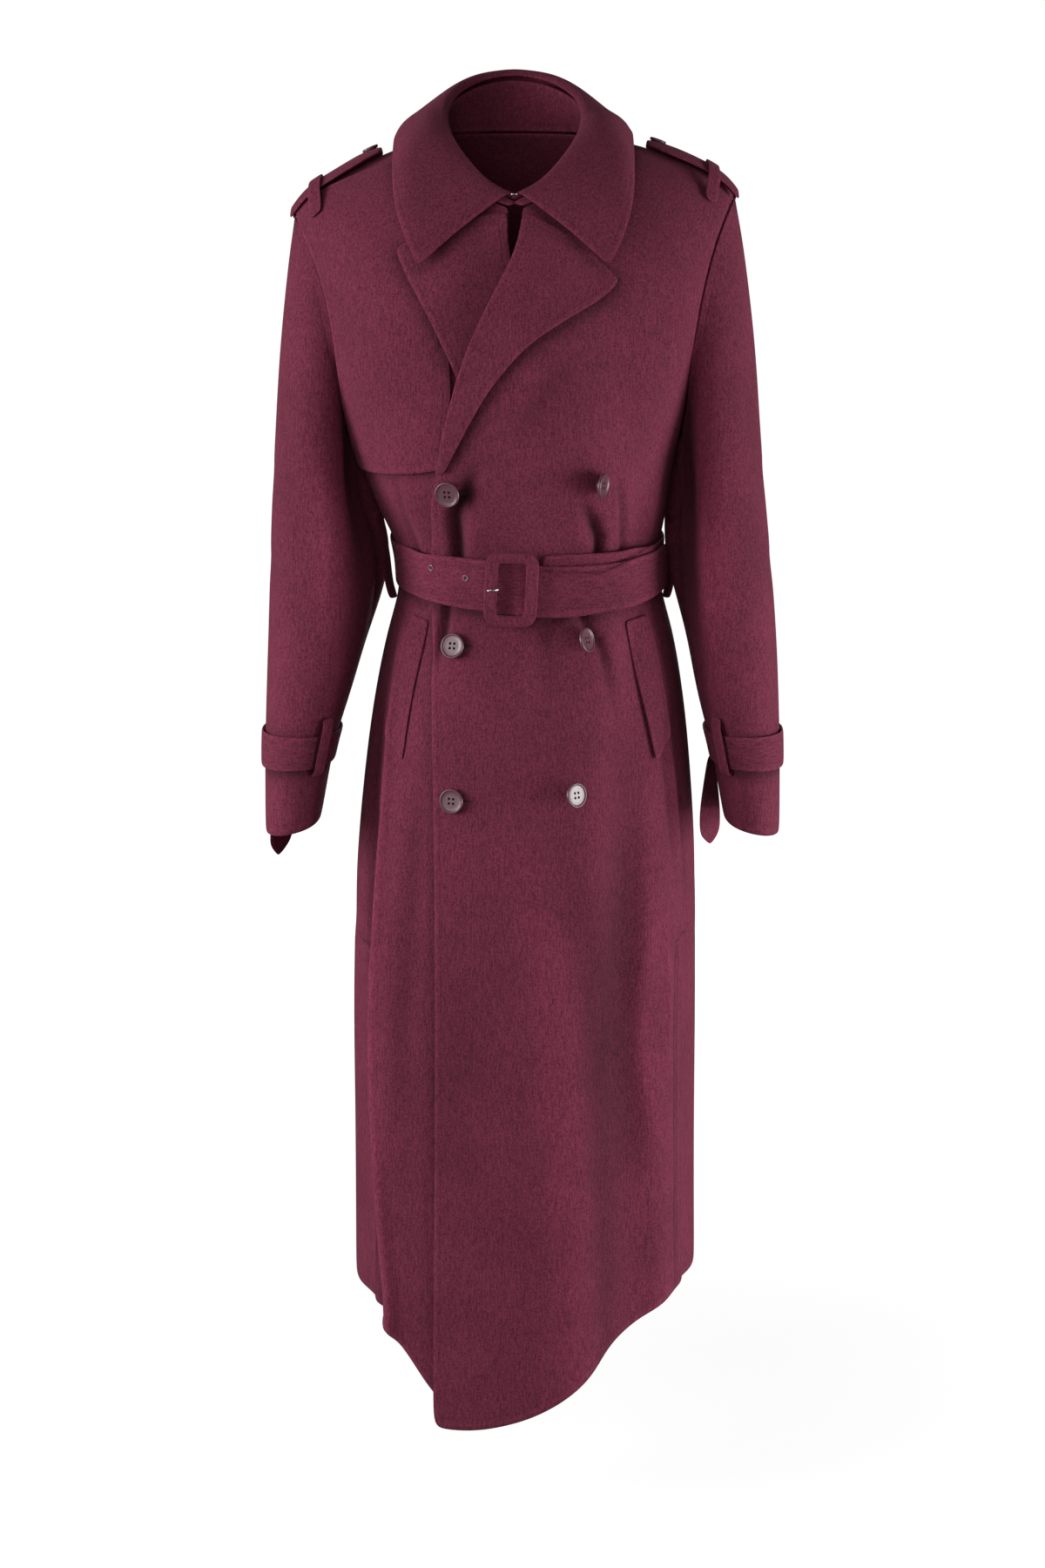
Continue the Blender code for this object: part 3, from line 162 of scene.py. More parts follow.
# Upper edge of the belt's outer layer beside the buckle, and the roll under it
BELT_SEAMS = (
    ((5.0, -0.4041), (16.3, -0.4061), (31.6, -0.4081), (44.0, -0.3995), (55.6, -0.3907), (72.0, -0.3800)),
)
BELT_FOLDS = (
    (((2.0, -0.4075), (16.3, -0.4095), (31.6, -0.4115), (44.0, -0.4030), (55.6, -0.3942),
      (76.0, -0.3830)), 0.0030, 0.0016),
    (((-62.0, -0.3900), (-40.0, -0.4100), (-24.0, -0.4150)), 0.0090, 0.0010),
    # Drawn forward through the buckle, its crest painted lighter against the shade inside the buckle
    (((-4.5, -0.350), (-4.5, -0.420), (-4.5, -0.490)), 0.0120, 0.0032),
)

# Pieces whose edges lie on each piece, and shade it beside them
COVERS = {
    "left_lapel": ("collar",),
    "right_lapel": ("collar", "left_lapel"),
    "storm_flap": ("right_lapel", "collar", "left_lapel"),
    "left_front": ("left_lapel", "collar", "belt"),
    "right_front": ("storm_flap", "right_lapel", "belt", "left_front", "left_lapel"),
    "back": ("collar", "belt"),
    "left_sleeve": ("left_sleeve_strap", "left_epaulette", "left_epaulette_loop"),
    "right_sleeve": ("right_sleeve_strap", "right_epaulette", "right_epaulette_loop"),
    "left_sleeve_strap": ("left_sleeve_strap_loop",),
    "right_sleeve_strap": ("right_sleeve_strap_loop",),
}

# Flat cut of each cloth piece that shows: width, length, area, how it is held and by what
CUTS = {
    "back": (0.860, 1.400, 0.738, "hung", "collar_stand"),
    "left_front": (0.360, 1.330, 0.378, "hung", "back"),
    "right_front": (0.310, 1.310, 0.329, "hung", "back"),
    "left_sleeve": (0.420, 0.640, 0.192, "hung", "left_front"),
    "right_sleeve": (0.420, 0.640, 0.192, "hung", "right_front"),
    "collar": (0.560, 0.170, 0.0658, "folded", "collar_stand"),
    "collar_stand": (0.400, 0.050, 0.0161, "hung", "back"),
    "left_lapel": (0.120, 0.250, 0.0145, "folded", "left_front"),
    "right_lapel": (0.120, 0.260, 0.0210, "folded", "right_front"),
    "storm_flap": (0.160, 0.330, 0.0426, "laid", "right_front"),
    "left_pocket_welt": (0.037, 0.150, 0.0049, "laid", "left_front"),
    "right_pocket_welt": (0.030, 0.150, 0.0041, "laid", "right_front"),
    "left_epaulette": (0.062, 0.115, 0.0067, "laid", "left_sleeve"),
    "right_epaulette": (0.062, 0.118, 0.0070, "laid", "right_sleeve"),
    "left_epaulette_loop": (0.017, 0.135, 0.0021, "stretched", "left_epaulette"),
    "right_epaulette_loop": (0.017, 0.135, 0.0022, "stretched", "right_epaulette"),
    "left_sleeve_strap": (0.345, 0.037, 0.0126, "stretched", "left_sleeve"),
    "right_sleeve_strap": (0.346, 0.037, 0.0126, "stretched", "right_sleeve"),
    "left_sleeve_strap_loop": (0.0165, 0.062, 0.0010, "stretched", "left_sleeve_strap"),
    "right_sleeve_strap_loop": (0.0165, 0.062, 0.0010, "stretched", "right_sleeve_strap"),
    "left_strap_tail": (0.037, 0.105, 0.0036, "hung", "left_sleeve_strap"),
    "right_strap_tail": (0.037, 0.117, 0.0042, "hung", "right_sleeve_strap"),
    "belt": (1.006, 0.052, 0.0503, "stretched", "back"),
    "left_belt_loop": (0.018, 0.100, 0.0017, "hung", "back"),
    "right_belt_loop": (0.018, 0.100, 0.0017, "hung", "back"),
}

# Soft lamps of the studio: name, place, power in watts
LAMPS = (
    ("left_side", (-2.4, -0.8, -0.2), 58.0),
    ("right_side_low", (2.4, -0.6, -0.7), 58.0),
    ("right_low", (1.3, -0.7, -1.15), 6.5),
    ("front", (-0.3, -2.7, 0.2), 11.0),
    ("left_front", (-1.8, -2.0, -0.3), 9.0),
    ("left_front_high", (-2.1, -1.6, 0.9), 8.0),
    ("behind", (0.3, 2.9, -0.2), 44.0),
)

# Width of each lamp, the point that it faces, and the strength of the light from all round
LAMP_SIZE = 1.2
LAMP_AIM = (0.0, 0.0, -0.55)
ROOM_LIGHT = 0.075

# Eyelets of the belt: x, z
EYELETS = ((-0.0905, -0.4075), (-0.0560, -0.4155))

# Turn of the open belt loops in degrees, and fall of the belt's lower edge at the buckle
LOOP_TURN = 32.0
BELT_DROP = 0.0085

# Front and epaulette buttons: radius, thickness and depth sunk; turn of the two that lean, in degrees
FRONT_BUTTON = (0.0126, 0.0050, 0.0012)
LEANING_BUTTON = (0.0126, 0.0050, 0.0)
EPAULETTE_BUTTON = (0.0085, 0.0040, 0.0034)
BUTTON_LEAN = 17.0

# Overlap of a front's side edge with the back, and the depth of cloth that it draws along
SEAM_REACH = 0.0022
SEAM_DEPTH = 0.0060

# Reach of the shade beside an edge
CONTACT_REACH = 0.0105


def linear(code):
    """Linear colour of an sRGB hex value."""
    parts = [int(code[i:i + 2], 16) / 255 for i in (1, 3, 5)]
    return tuple(c / 12.92 if c <= 0.04045 else ((c + 0.055) / 1.055) ** 2.4 for c in parts)


class CoatSettings(bpy.types.PropertyGroup):
    """Sizes and colours of the coat that a user would change."""

    wool_colour: bpy.props.FloatVectorProperty(
        name="Wool", description="Colour of the wool in open light", subtype="COLOR", size=3,
        default=linear("#7a3248"), min=0, max=1,
    )
    wool_shade: bpy.props.FloatVectorProperty(
        name="Wool depth", description="Colour between the fibres", subtype="COLOR", size=3,
        default=linear("#521c2d"), min=0, max=1,
    )
    button_colour: bpy.props.FloatVectorProperty(
        name="Buttons", description="Colour of the button resin", subtype="COLOR", size=3,
        default=linear("#5c3640"), min=0, max=1,
    )
    seam_inset: bpy.props.FloatProperty(
        name="Seam inset", description="Distance of the edge seam from the cut edge", unit="LENGTH",
        default=0.0055, min=0.002, max=0.02,
    )
    fold_strength: bpy.props.FloatProperty(
        name="Folds", description="Strength of the soft folds", subtype="FACTOR", default=1.0, min=0, max=2,
    )
    floor_height: bpy.props.FloatProperty(
        name="Floor", description="Height of the floor below the neck", unit="LENGTH",
        default=-1.395, min=-2, max=0,
    )


def settings():
    return bpy.context.scene.coat_settings


def add_node(tree, kind, inputs=None, **options):
    """New node with its options set, and each input linked to a socket or given a constant."""
    made = tree.nodes.new(kind)
    for key, value in options.items():
        setattr(made, key, value)
    for key, value in (inputs or {}).items():
        if isinstance(value, bpy.types.NodeSocket):
            tree.links.new(value, made.inputs[key])
        else:
            made.inputs[key].default_value = value
    return made


def start_material(name):
    material = bpy.data.materials.get(name)
    if material:
        return material, None, None
    material = bpy.data.materials.new(name)
    material.use_nodes = True
    return material, material.node_tree, material.node_tree.nodes["Principled BSDF"]


def felted_wool(name, stretch):
    """Double-faced felted wool: matt, streaked along the grain by its nap, paler at grazing light, with
    painted shade in its folds and beside edges that lie on it, and painted highlights on fold crests and cut
    edges.
    """
    material, tree, shader = start_material(name)
    if tree is None:
        return material
    chosen = settings()
    place = add_node(tree, "ShaderNodeTexCoord")
    grain_place = add_node(tree, "ShaderNodeMapping", {"Vector": place.outputs["Object"], "Scale": stretch})
    # Brushed fibres in bundles 1.5 mm across and 10 mm long, coarser than the real ones so that they show
    grain = add_node(tree, "ShaderNodeTexNoise", {
        "Vector": grain_place.outputs["Vector"], "Scale": 650.0, "Detail": 5.0, "Roughness": 0.66,
    })
    # Felted clumps, about 2 mm
    clump = add_node(tree, "ShaderNodeTexNoise", {
        "Vector": place.outputs["Object"], "Scale": 480.0, "Detail": 3.0, "Roughness": 0.6,
    })
    # Uneven dye and brushing, about 60 mm
    patch = add_node(tree, "ShaderNodeTexNoise", {
        "Vector": place.outputs["Object"], "Scale": 16.0, "Detail": 2.0, "Roughness": 0.5,
    })
    mixed = add_node(tree, "ShaderNodeMath", {
        0: grain.outputs["Fac"], 1: clump.outputs["Fac"],
    }, operation="ADD")
    spread = add_node(tree, "ShaderNodeMapRange", {
        "Value": mixed.outputs["Value"], "From Min": 0.77, "From Max": 1.23, "To Min": 0.0, "To Max": 1.0,
    })
    tone = add_node(tree, "ShaderNodeMix", {"Factor": spread.outputs["Result"]}, data_type="RGBA")
    tone.inputs[6].default_value = (*chosen.wool_shade, 1)
    tone.inputs[7].default_value = (*chosen.wool_colour, 1)
    level = add_node(tree, "ShaderNodeMapRange", {
        "Value": patch.outputs["Fac"], "From Min": 0.3, "From Max": 0.7, "To Min": 0.90, "To Max": 1.08,
    })
    # Cut edge: a painted highlight, paler within 2 mm, and a seam groove further in
    rim = add_node(tree, "ShaderNodeAttribute", attribute_name="rim")
    rubbed = add_node(tree, "ShaderNodeMapRange", {
        "Value": rim.outputs["Fac"], "From Min": 0.0, "From Max": 0.0026, "To Min": 1.16, "To Max": 1.0,
    }, interpolation_type="SMOOTHSTEP")
    from_seam = add_node(tree, "ShaderNodeMath", {
        0: rim.outputs["Fac"], 1: chosen.seam_inset,
    }, operation="SUBTRACT")
    edge_gap = add_node(tree, "ShaderNodeMath", {0: from_seam.outputs["Value"]}, operation="ABSOLUTE")
    edge_seam = add_node(tree, "ShaderNodeMapRange", {
        "Value": edge_gap.outputs["Value"], "From Min": 0.0, "From Max": 0.0020,
        "To Min": 0.91, "To Max": 1.0,
    }, interpolation_type="SMOOTHSTEP")
    sewn = add_node(tree, "ShaderNodeAttribute", attribute_name="sewn")
    sewn_seam = add_node(tree, "ShaderNodeMapRange", {
        "Value": sewn.outputs["Fac"], "From Min": 0.0, "From Max": 0.0024, "To Min": 0.62, "To Max": 1.0,
    }, interpolation_type="SMOOTHSTEP")
    seam = add_node(tree, "ShaderNodeMath", {
        0: edge_seam.outputs["Result"], 1: sewn_seam.outputs["Result"],
    }, operation="MULTIPLY")
    # Painted shade in the folds, darkest in their troughs, and painted highlight along their crests
    fold = add_node(tree, "ShaderNodeAttribute", attribute_name="fold")
    fold_shade_and_highlight = add_node(tree, "ShaderNodeMapRange", {
        "Value": fold.outputs["Fac"], "From Min": FOLD_FLOOR, "From Max": FOLD_CREST,
        "To Min": 0.28, "To Max": 1.36,
    })
    shade = add_node(tree, "ShaderNodeMath", {
        0: rubbed.outputs["Result"], 1: seam.outputs["Value"],
    }, operation="MULTIPLY")
    folded = add_node(tree, "ShaderNodeMath", {
        0: shade.outputs["Value"], 1: fold_shade_and_highlight.outputs["Result"],
    }, operation="MULTIPLY")
    # Painted shadow on the wool beside the edge of a piece that lies on it
    contact = add_node(tree, "ShaderNodeAttribute", attribute_name="contact")
    contact_shadow_tone = add_node(tree, "ShaderNodeMapRange", {
        "Value": contact.outputs["Fac"], "To Min": 1.0, "To Max": 0.30,
    })
    pressed = add_node(tree, "ShaderNodeMath", {
        0: folded.outputs["Value"], 1: contact_shadow_tone.outputs["Result"],
    }, operation="MULTIPLY")
    whole = add_node(tree, "ShaderNodeMath", {
        0: pressed.outputs["Value"], 1: level.outputs["Result"],
    }, operation="MULTIPLY")
    colour = add_node(tree, "ShaderNodeVectorMath", {
        0: tone.outputs[2], "Scale": whole.outputs["Value"],
    }, operation="SCALE")
    # Fuzz at the surface, under 1 mm, drawn coarse enough to show
    fuzz = add_node(tree, "ShaderNodeTexNoise", {
        "Vector": place.outputs["Object"], "Scale": 900.0, "Detail": 3.0, "Roughness": 0.7,
    })
    height = add_node(tree, "ShaderNodeMath", {
        0: mixed.outputs["Value"], 1: fuzz.outputs["Fac"],
    }, operation="ADD")
    fibre = add_node(tree, "ShaderNodeBump", {
        "Height": height.outputs["Value"], "Strength": 0.55, "Distance": 0.0009,
    })
    groove = add_node(tree, "ShaderNodeBump", {
        "Height": seam.outputs["Value"], "Strength": 0.8, "Distance": 0.0024,
        "Normal": fibre.outputs["Normal"],
    })
    tree.links.new(colour.outputs["Vector"], shader.inputs["Base Color"])
    tree.links.new(groove.outputs["Normal"], shader.inputs["Normal"])
    shader.inputs["Roughness"].default_value = 0.92
    shader.inputs["Specular IOR Level"].default_value = 0.18
    shader.inputs["Sheen Weight"].default_value = 0.24
    shader.inputs["Sheen Roughness"].default_value = 0.45
    shader.inputs["Sheen Tint"].default_value = (*linear("#c8748c"), 1)
    return material


def upright_wool():
    return felted_wool("felted_wool_upright", (1.0, 1.0, 0.15))


def crosswise_wool():
    return felted_wool("felted_wool_crosswise", (0.15, 0.15, 1.0))


def button_resin():
    """Polished button resin: mauve with faint darker clouds, a soft gloss on rim and face."""
    material, tree, shader = start_material("polished_button_resin")
    if tree is None:
        return material
    base = settings().button_colour
    place = add_node(tree, "ShaderNodeTexCoord")
    cloud = add_node(tree, "ShaderNodeTexNoise", {
        "Vector": place.outputs["Object"], "Scale": 130.0, "Detail": 3.0, "Distortion": 1.2,
    })
    tone = add_node(tree, "ShaderNodeMix", {"Factor": cloud.outputs["Fac"]}, data_type="RGBA")
    tone.inputs[6].default_value = (*[0.72 * c for c in base], 1)
    tone.inputs[7].default_value = (*[min(1.0, 1.25 * c) for c in base], 1)
    tree.links.new(tone.outputs[2], shader.inputs["Base Color"])
    scratch = add_node(tree, "ShaderNodeTexNoise", {
        "Vector": place.outputs["Object"], "Scale": 2200.0, "Detail": 2.0,
    })
    gloss = add_node(tree, "ShaderNodeMapRange", {
        "Value": scratch.outputs["Fac"], "To Min": 0.30, "To Max": 0.40,
    })
    tree.links.new(gloss.outputs["Result"], shader.inputs["Roughness"])
    shader.inputs["IOR"].default_value = 1.55
    shader.inputs["Coat Weight"].default_value = 0.15
    shader.inputs["Coat Roughness"].default_value = 0.15
    return material


def sewing_thread():
    """Twisted polyester thread in a dark wine colour: fine slanted ply, low gloss."""
    material, tree, shader = start_material("wine_sewing_thread")
    if tree is None:
        return material
    place = add_node(tree, "ShaderNodeTexCoord")
    ply = add_node(tree, "ShaderNodeTexWave", {
        "Vector": place.outputs["Object"], "Scale": 420.0, "Distortion": 1.0,
    }, bands_direction="DIAGONAL")
    tone = add_node(tree, "ShaderNodeMix", {"Factor": ply.outputs["Fac"]}, data_type="RGBA")
    tone.inputs[6].default_value = (*linear("#12060a"), 1)
    tone.inputs[7].default_value = (*linear("#2e121b"), 1)
    tree.links.new(tone.outputs[2], shader.inputs["Base Color"])
    shader.inputs["Roughness"].default_value = 0.7
    return material


def nickel_plate():
    """Nickel-plated steel wire: bright, with a soft brushed roughness."""
    material, tree, shader = start_material("nickel_plated_steel")
    if tree is None:
        return material
    place = add_node(tree, "ShaderNodeTexCoord")
    brushed = add_node(tree, "ShaderNodeTexNoise", {
        "Vector": place.outputs["Object"], "Scale": 1500.0, "Detail": 3.0,
    })
    rough = add_node(tree, "ShaderNodeMapRange", {
        "Value": brushed.outputs["Fac"], "To Min": 0.16, "To Max": 0.34,
    })
    tree.links.new(rough.outputs["Result"], shader.inputs["Roughness"])
    shader.inputs["Base Color"].default_value = (*linear("#d2d0cf"), 1)
    shader.inputs["Metallic"].default_value = 1.0
    return material


def eyelet_enamel():
    """Enamelled brass eyelet: dark wine lacquer, small bright highlights where it is rubbed."""
    material, tree, shader = start_material("enamelled_eyelet")
    if tree is None:
        return material
    place = add_node(tree, "ShaderNodeTexCoord")
    rub = add_node(tree, "ShaderNodeTexNoise", {
        "Vector": place.outputs["Object"], "Scale": 900.0, "Detail": 2.0,
    })
    tone = add_node(tree, "ShaderNodeMix", {"Factor": rub.outputs["Fac"]}, data_type="RGBA")
    tone.inputs[6].default_value = (*linear("#6d3a48"), 1)
    tone.inputs[7].default_value = (*linear("#a8788a"), 1)
    tree.links.new(tone.outputs[2], shader.inputs["Base Color"])
    shader.inputs["Roughness"].default_value = 0.3
    shader.inputs["Metallic"].default_value = 0.4
    return material


def welded_copy(node):
    """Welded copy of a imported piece, its pairs of triangles joined into quads."""
    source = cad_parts[node]
    build = bmesh.new()
    build.from_mesh(source.data)
    build.transform(source.matrix_world)
    bmesh.ops.remove_doubles(build, verts=build.verts, dist=0.00002)
    bmesh.ops.join_triangles(
        build, faces=build.faces, angle_face_threshold=1.3, angle_shape_threshold=1.5, topology_influence=1.6,
    )
    return build


def middle_point(line, z):
    """Place of a middle line, x and y, at a height."""
    line = np.array(line)
    order = np.argsort(line[:, 2])
    return np.array([np.interp(z, line[order, 2], line[order, k]) for k in (0, 1)])


def mark_sides(build, middle):
    """Material index 0 on the outer side of a cloth shell, 1 on its inner side and 2 on the cut edge."""
    build.faces.ensure_lookup_table()
    for face in build.faces:
        lengths = sorted(edge.calc_length() for edge in face.edges)
        narrow = lengths[1 if len(lengths) == 4 else 0] < WALL_LIMIT
        face.material_index = 2 if narrow else 0
        face.tag = narrow
    sides = []
    for first in build.faces:
        if first.tag:
            continue
        side, queue = [], [first]
        first.tag = True
        while queue:
            face = queue.pop()
            side.append(face)
            for edge in face.edges:
                for other in edge.link_faces:
                    if not other.tag:
                        other.tag = True
                        queue.append(other)
        sides.append(side)
    for side in sides:
        outward = 0.0
        for face in side:
            centre = face.calc_center_median()
            x, y = middle_point(middle, centre.z)
            away = Vector((centre.x - x, centre.y - y, 0.0))
            outward += face.calc_area() * face.normal.dot(away)
        for face in side:
            face.material_index = 0 if outward > 0 else 1
    return len(sides)


def new_object(name, mesh, material, smooth=True):
    mesh.materials.clear()
    mesh.materials.append(material)
    mesh.polygons.foreach_set("material_index", [0] * len(mesh.polygons))
    mesh.polygons.foreach_set("use_smooth", [smooth] * len(mesh.polygons))
    piece = bpy.data.objects.new(name, mesh)
    bpy.context.scene.collection.objects.link(piece)
    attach(piece, "root")
    return piece


def path_distance(places, path, radius):
    """Distance of (n, 2) places to a path of angle and height, and the share of the path gone by there."""
    path = np.array([(math.radians(angle) * radius, z) for angle, z in path])
    nearest = np.full(len(places), np.inf)
    along = np.zeros(len(places))
    for step, (start, end) in enumerate(zip(path, path[1:])):
        run = end - start
        share = np.clip((places - start) @ run / (run @ run), 0, 1)
        gap = np.linalg.norm(places - start - share[:, None] * run, axis=1)
        closer = gap < nearest
        nearest[closer] = gap[closer]
        along[closer] = (step + share[closer]) / (len(path) - 1)
    return nearest, along


def fold_lift(places, folds, radius):
    """Height of the soft folds at (n, 2) places, faded at their ends, save under the belt and at the hem."""
    total = np.zeros(len(places))
    for path, width, height in folds:
        nearest, along = path_distance(places, path, radius)
        last = path[-1][1]
        held = radius == BODY_RADIUS and (BELT_LOW < last < BELT_HIGH or last < HEM_FOLDS)
        rise = np.clip(along / FOLD_FADE, 0, 1)
        fall = 1.0 if held else np.clip((1 - along) / FOLD_FADE, 0, 1)
        fade = np.sin(0.5 * np.pi * rise) ** 2 * np.sin(0.5 * np.pi * fall) ** 2
        total += height * fade * np.exp(-(nearest / width) ** 2)
    return total


def surface_places(points, middle, radius, mirror):
    """Angle round the middle line, turned to metres at a given radius, and height."""
    x, y = points[:, :2].T - middle_point(middle, points[:, 2])
    angle = np.arctan2(-y, mirror * x) if mirror else np.arctan2(x, -y)
    return np.stack((angle * radius, points[:, 2]), axis=1)


def cloth_shell(node, material, middle, folds=(), seams=(), radius=BODY_RADIUS, mirror=0):
    """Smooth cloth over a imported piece, with its folds and the distance to its cut edge for the seam."""
    name = node + "_cloth"
    build = welded_copy(node)
    if mark_sides(build, middle) != 2:
        raise RuntimeError(node + " has no clear outer and inner side")
    crease = build.edges.layers.float.new("crease_edge")
    for edge in build.edges:
        kinds = {face.material_index for face in edge.link_faces}
        if len(kinds) > 1 or (kinds == {2} and edge.calc_face_angle(0.0) > 0.6):
            edge[crease] = 0.25
    base = bpy.data.meshes.new(name)
    for _ in range(3):
        base.materials.append(None)
    build.to_mesh(base)
    build.free()
    holder = bpy.data.objects.new(name, base)
    bpy.context.scene.collection.objects.link(holder)
    smooth = holder.modifiers.new("smooth", "SUBSURF")
    smooth.levels = 3
    smooth.render_levels = 3
    graph = bpy.context.evaluated_depsgraph_get()
    mesh = bpy.data.meshes.new_from_object(holder.evaluated_get(graph))
    bpy.data.objects.remove(holder)
    points = np.zeros(len(mesh.vertices) * 3)
    mesh.vertices.foreach_get("co", points)
    points = points.reshape(-1, 3)
    corners = np.zeros(len(mesh.loops), int)
    mesh.loops.foreach_get("vertex_index", corners)
    corners = corners.reshape(-1, 4)
    kinds = np.zeros(len(mesh.polygons), int)
    mesh.polygons.foreach_get("material_index", kinds)
    outer = np.zeros(len(points), bool)
    inner = np.zeros(len(points), bool)
    edge_band = np.zeros(len(points), bool)
    outer[corners[kinds == 0].ravel()] = True
    inner[corners[kinds == 1].ravel()] = True
    edge_band[corners[kinds == 2].ravel()] = True
    places = surface_places(points, middle, radius, mirror)
    lift = np.zeros(len(points))
    if folds:
        normals = np.zeros_like(points)
        faces = points[corners]
        across = np.cross(faces[:, 2] - faces[:, 0], faces[:, 3] - faces[:, 1])
        for kind, sign in ((0, 1), (1, -1)):
            chosen = kinds == kind
            for k in range(4):
                np.add.at(normals, corners[chosen, k], sign * across[chosen])
        normals /= np.maximum(np.linalg.norm(normals, axis=1, keepdims=True), 1e-12)
        lift = settings().fold_strength * fold_lift(places, folds, radius)
        shift = lift[:, None] * normals
        loose = np.flatnonzero(edge_band & ~outer & ~inner)
        if len(loose):
            rim = np.flatnonzero(edge_band & outer)
            tree = KDTree(len(rim))
            for i in rim:
                tree.insert(points[i], int(i))
            tree.balance()
            for i in loose:
                shift[i] = shift[tree.find(points[i])[1]]
        points = points + shift
        mesh.vertices.foreach_set("co", points.ravel())
    samples = rim_samples(points, corners, kinds)
    store_field(mesh, "rim", [find[2] for find in nearest_samples(samples, points)])
    sewn = [path_distance(places, path, radius)[0] for path in seams]
    store_field(mesh, "sewn", np.min(sewn, axis=0) if sewn else np.full(len(points), FAR))
    # Height of the folds, from which the wool paints shade in their troughs and highlight on their crests
    store_field(mesh, "fold", np.clip(lift, FOLD_FLOOR, FOLD_CREST))
    piece = new_object(name, mesh, material)
    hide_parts(node)
    width, length, area, held, holder = CUTS[node]
    return piece


def finished_mesh(name, build):
    """Mesh of a finished build, which is then freed."""
    mesh = bpy.data.meshes.new(name)
    build.to_mesh(mesh)
    build.free()
    return mesh


def store_field(mesh, name, values):
    field = mesh.attributes.new(name, "FLOAT", "POINT")
    field.data.foreach_set("value", values)


def rim_samples(points, corners, kinds):
    """Close row of places along the cut edge of a cloth piece."""
    pairs = {}
    for kind, face in zip(kinds, corners):
        if kind == 2:
            for a, b in zip(face, np.roll(face, -1)):
                pairs.setdefault((min(a, b), max(a, b)), set()).add(2)
    skin = corners[kinds != 2]
    ends = np.stack((skin, np.roll(skin, -1, axis=1)), axis=2).reshape(-1, 2)
    ends.sort(axis=1)
    edges = [pair for pair in map(tuple, np.unique(ends, axis=0)) if pair in pairs]
    samples = []
    for a, b in edges:
        count = max(1, int(np.linalg.norm(points[a] - points[b]) / 0.0008))
        for share in np.linspace(0, 1, count, endpoint=False):
            samples.append(points[a] + share * (points[b] - points[a]))
    return samples


def nearest_samples(samples, points):
    """Nearest sample, its number and its distance for every point."""
    tree = KDTree(len(samples))
    for i, place in enumerate(samples):
        tree.insert(place, i)
    tree.balance()
    return [tree.find(place) for place in points]


def shade_contacts():
    """Shade of each covered piece beside the edges that lie on it, deepest below an edge."""
    for node, covers in COVERS.items():
        mesh = bpy.data.objects[node + "_cloth"].data
        points = [vertex.co.copy() for vertex in mesh.vertices]
        samples = []
        for cover in covers:
            above = bpy.data.objects[cover + "_cloth"].data
            rim = above.attributes["rim"].data
            samples += [v.co.copy() for v in above.vertices if rim[v.index].value < 0.0008]
        shade = []
        for point, (place, _, gap) in zip(points, nearest_samples(samples, points)):
            below = (place.z - point.z) / max(gap, 1e-6)
            shade.append((0.62 + 0.38 * below) * math.exp(-(gap / CONTACT_REACH) ** 2))
        store_field(mesh, "contact", shade)


def solid_copy(name, node, material, levels):
    """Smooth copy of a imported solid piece."""
    mesh = finished_mesh(name, welded_copy(node))
    store_field(mesh, "rim", np.full(len(mesh.vertices), FAR))
    store_field(mesh, "sewn", np.full(len(mesh.vertices), FAR))
    store_field(mesh, "fold", np.zeros(len(mesh.vertices)))
    piece = new_object(name, mesh, material)
    smooth = piece.modifiers.new("smooth", "SUBSURF")
    smooth.levels = levels
    smooth.render_levels = levels
    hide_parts(node)
    return piece


def close_side_seam(front):
    """Carry the side edge of a front over to the back, so that no light falls through the seam."""
    rim = front.data.attributes["rim"].data
    for vertex in front.data.vertices:
        x, y = middle_point(BODY_MIDDLE, vertex.co.z)
        angle = math.degrees(math.atan2(vertex.co.x - x, y - vertex.co.y))
        if abs(angle) > 70:
            vertex.co.y += SEAM_REACH * max(0.0, 1 - rim[vertex.index].value / SEAM_DEPTH)
    front.data.update()


class COAT_OT_panels(bpy.types.Operator):
    """Back and fronts of the coat, with the folds of the waist and skirt"""

    bl_idname = "coat.panels"
    bl_label = "Coat panels"

    def execute(self, context):
        for node in ("back", "left_front", "right_front"):
            panel = cloth_shell(node, upright_wool(), BODY_MIDDLE, BODY_FOLDS, BODY_SEAMS)
            if node != "back":
                close_side_seam(panel)
        return {"FINISHED"}


class COAT_OT_sleeves(bpy.types.Operator):
    """Sleeves with a soft front line and elbow folds"""

    bl_idname = "coat.sleeves"
    bl_label = "Sleeves"

    def execute(self, context):
        folds = SLEEVE_FOLDS + SLEEVE_FULLNESS
        cloth_shell("left_sleeve", upright_wool(), LEFT_SLEEVE_MIDDLE, folds, (), SLEEVE_RADIUS, 1)
        cloth_shell("right_sleeve", upright_wool(), RIGHT_SLEEVE_MIDDLE, folds, (), SLEEVE_RADIUS, -1)
        return {"FINISHED"}


class COAT_OT_collar(bpy.types.Operator):
    """Collar, its stand, and both lapels"""

    bl_idname = "coat.collar"
    bl_label = "Collar and lapels"

    def execute(self, context):
        for node in ("collar", "collar_stand", "left_lapel", "right_lapel"):
            cloth_shell(node, upright_wool(), BODY_MIDDLE)
        return {"FINISHED"}


class COAT_OT_trim(bpy.types.Operator):
    """Storm flap, pocket welts, epaulettes and their loops"""

    bl_idname = "coat.trim"
    bl_label = "Flap, pockets and epaulettes"

    def execute(self, context):
        # The welts lie pressed, the right one almost flush with the fold beside it
        pressed = cloth_shell("left_pocket_welt", upright_wool(), BODY_MIDDLE, BODY_FOLDS)
        pressed.data.transform(Matrix.Translation((-0.0008, 0.0009, 0.0)))
        flush = cloth_shell("right_pocket_welt", upright_wool(), BODY_MIDDLE, BODY_FOLDS)
        flush.data.transform(Matrix.Translation((0.0021, 0.0009, 0.0)))
        for node in (
            "storm_flap", "left_epaulette", "right_epaulette", "left_epaulette_loop", "right_epaulette_loop",
        ):
            cloth_shell(node, upright_wool(), BODY_MIDDLE)
        return {"FINISHED"}


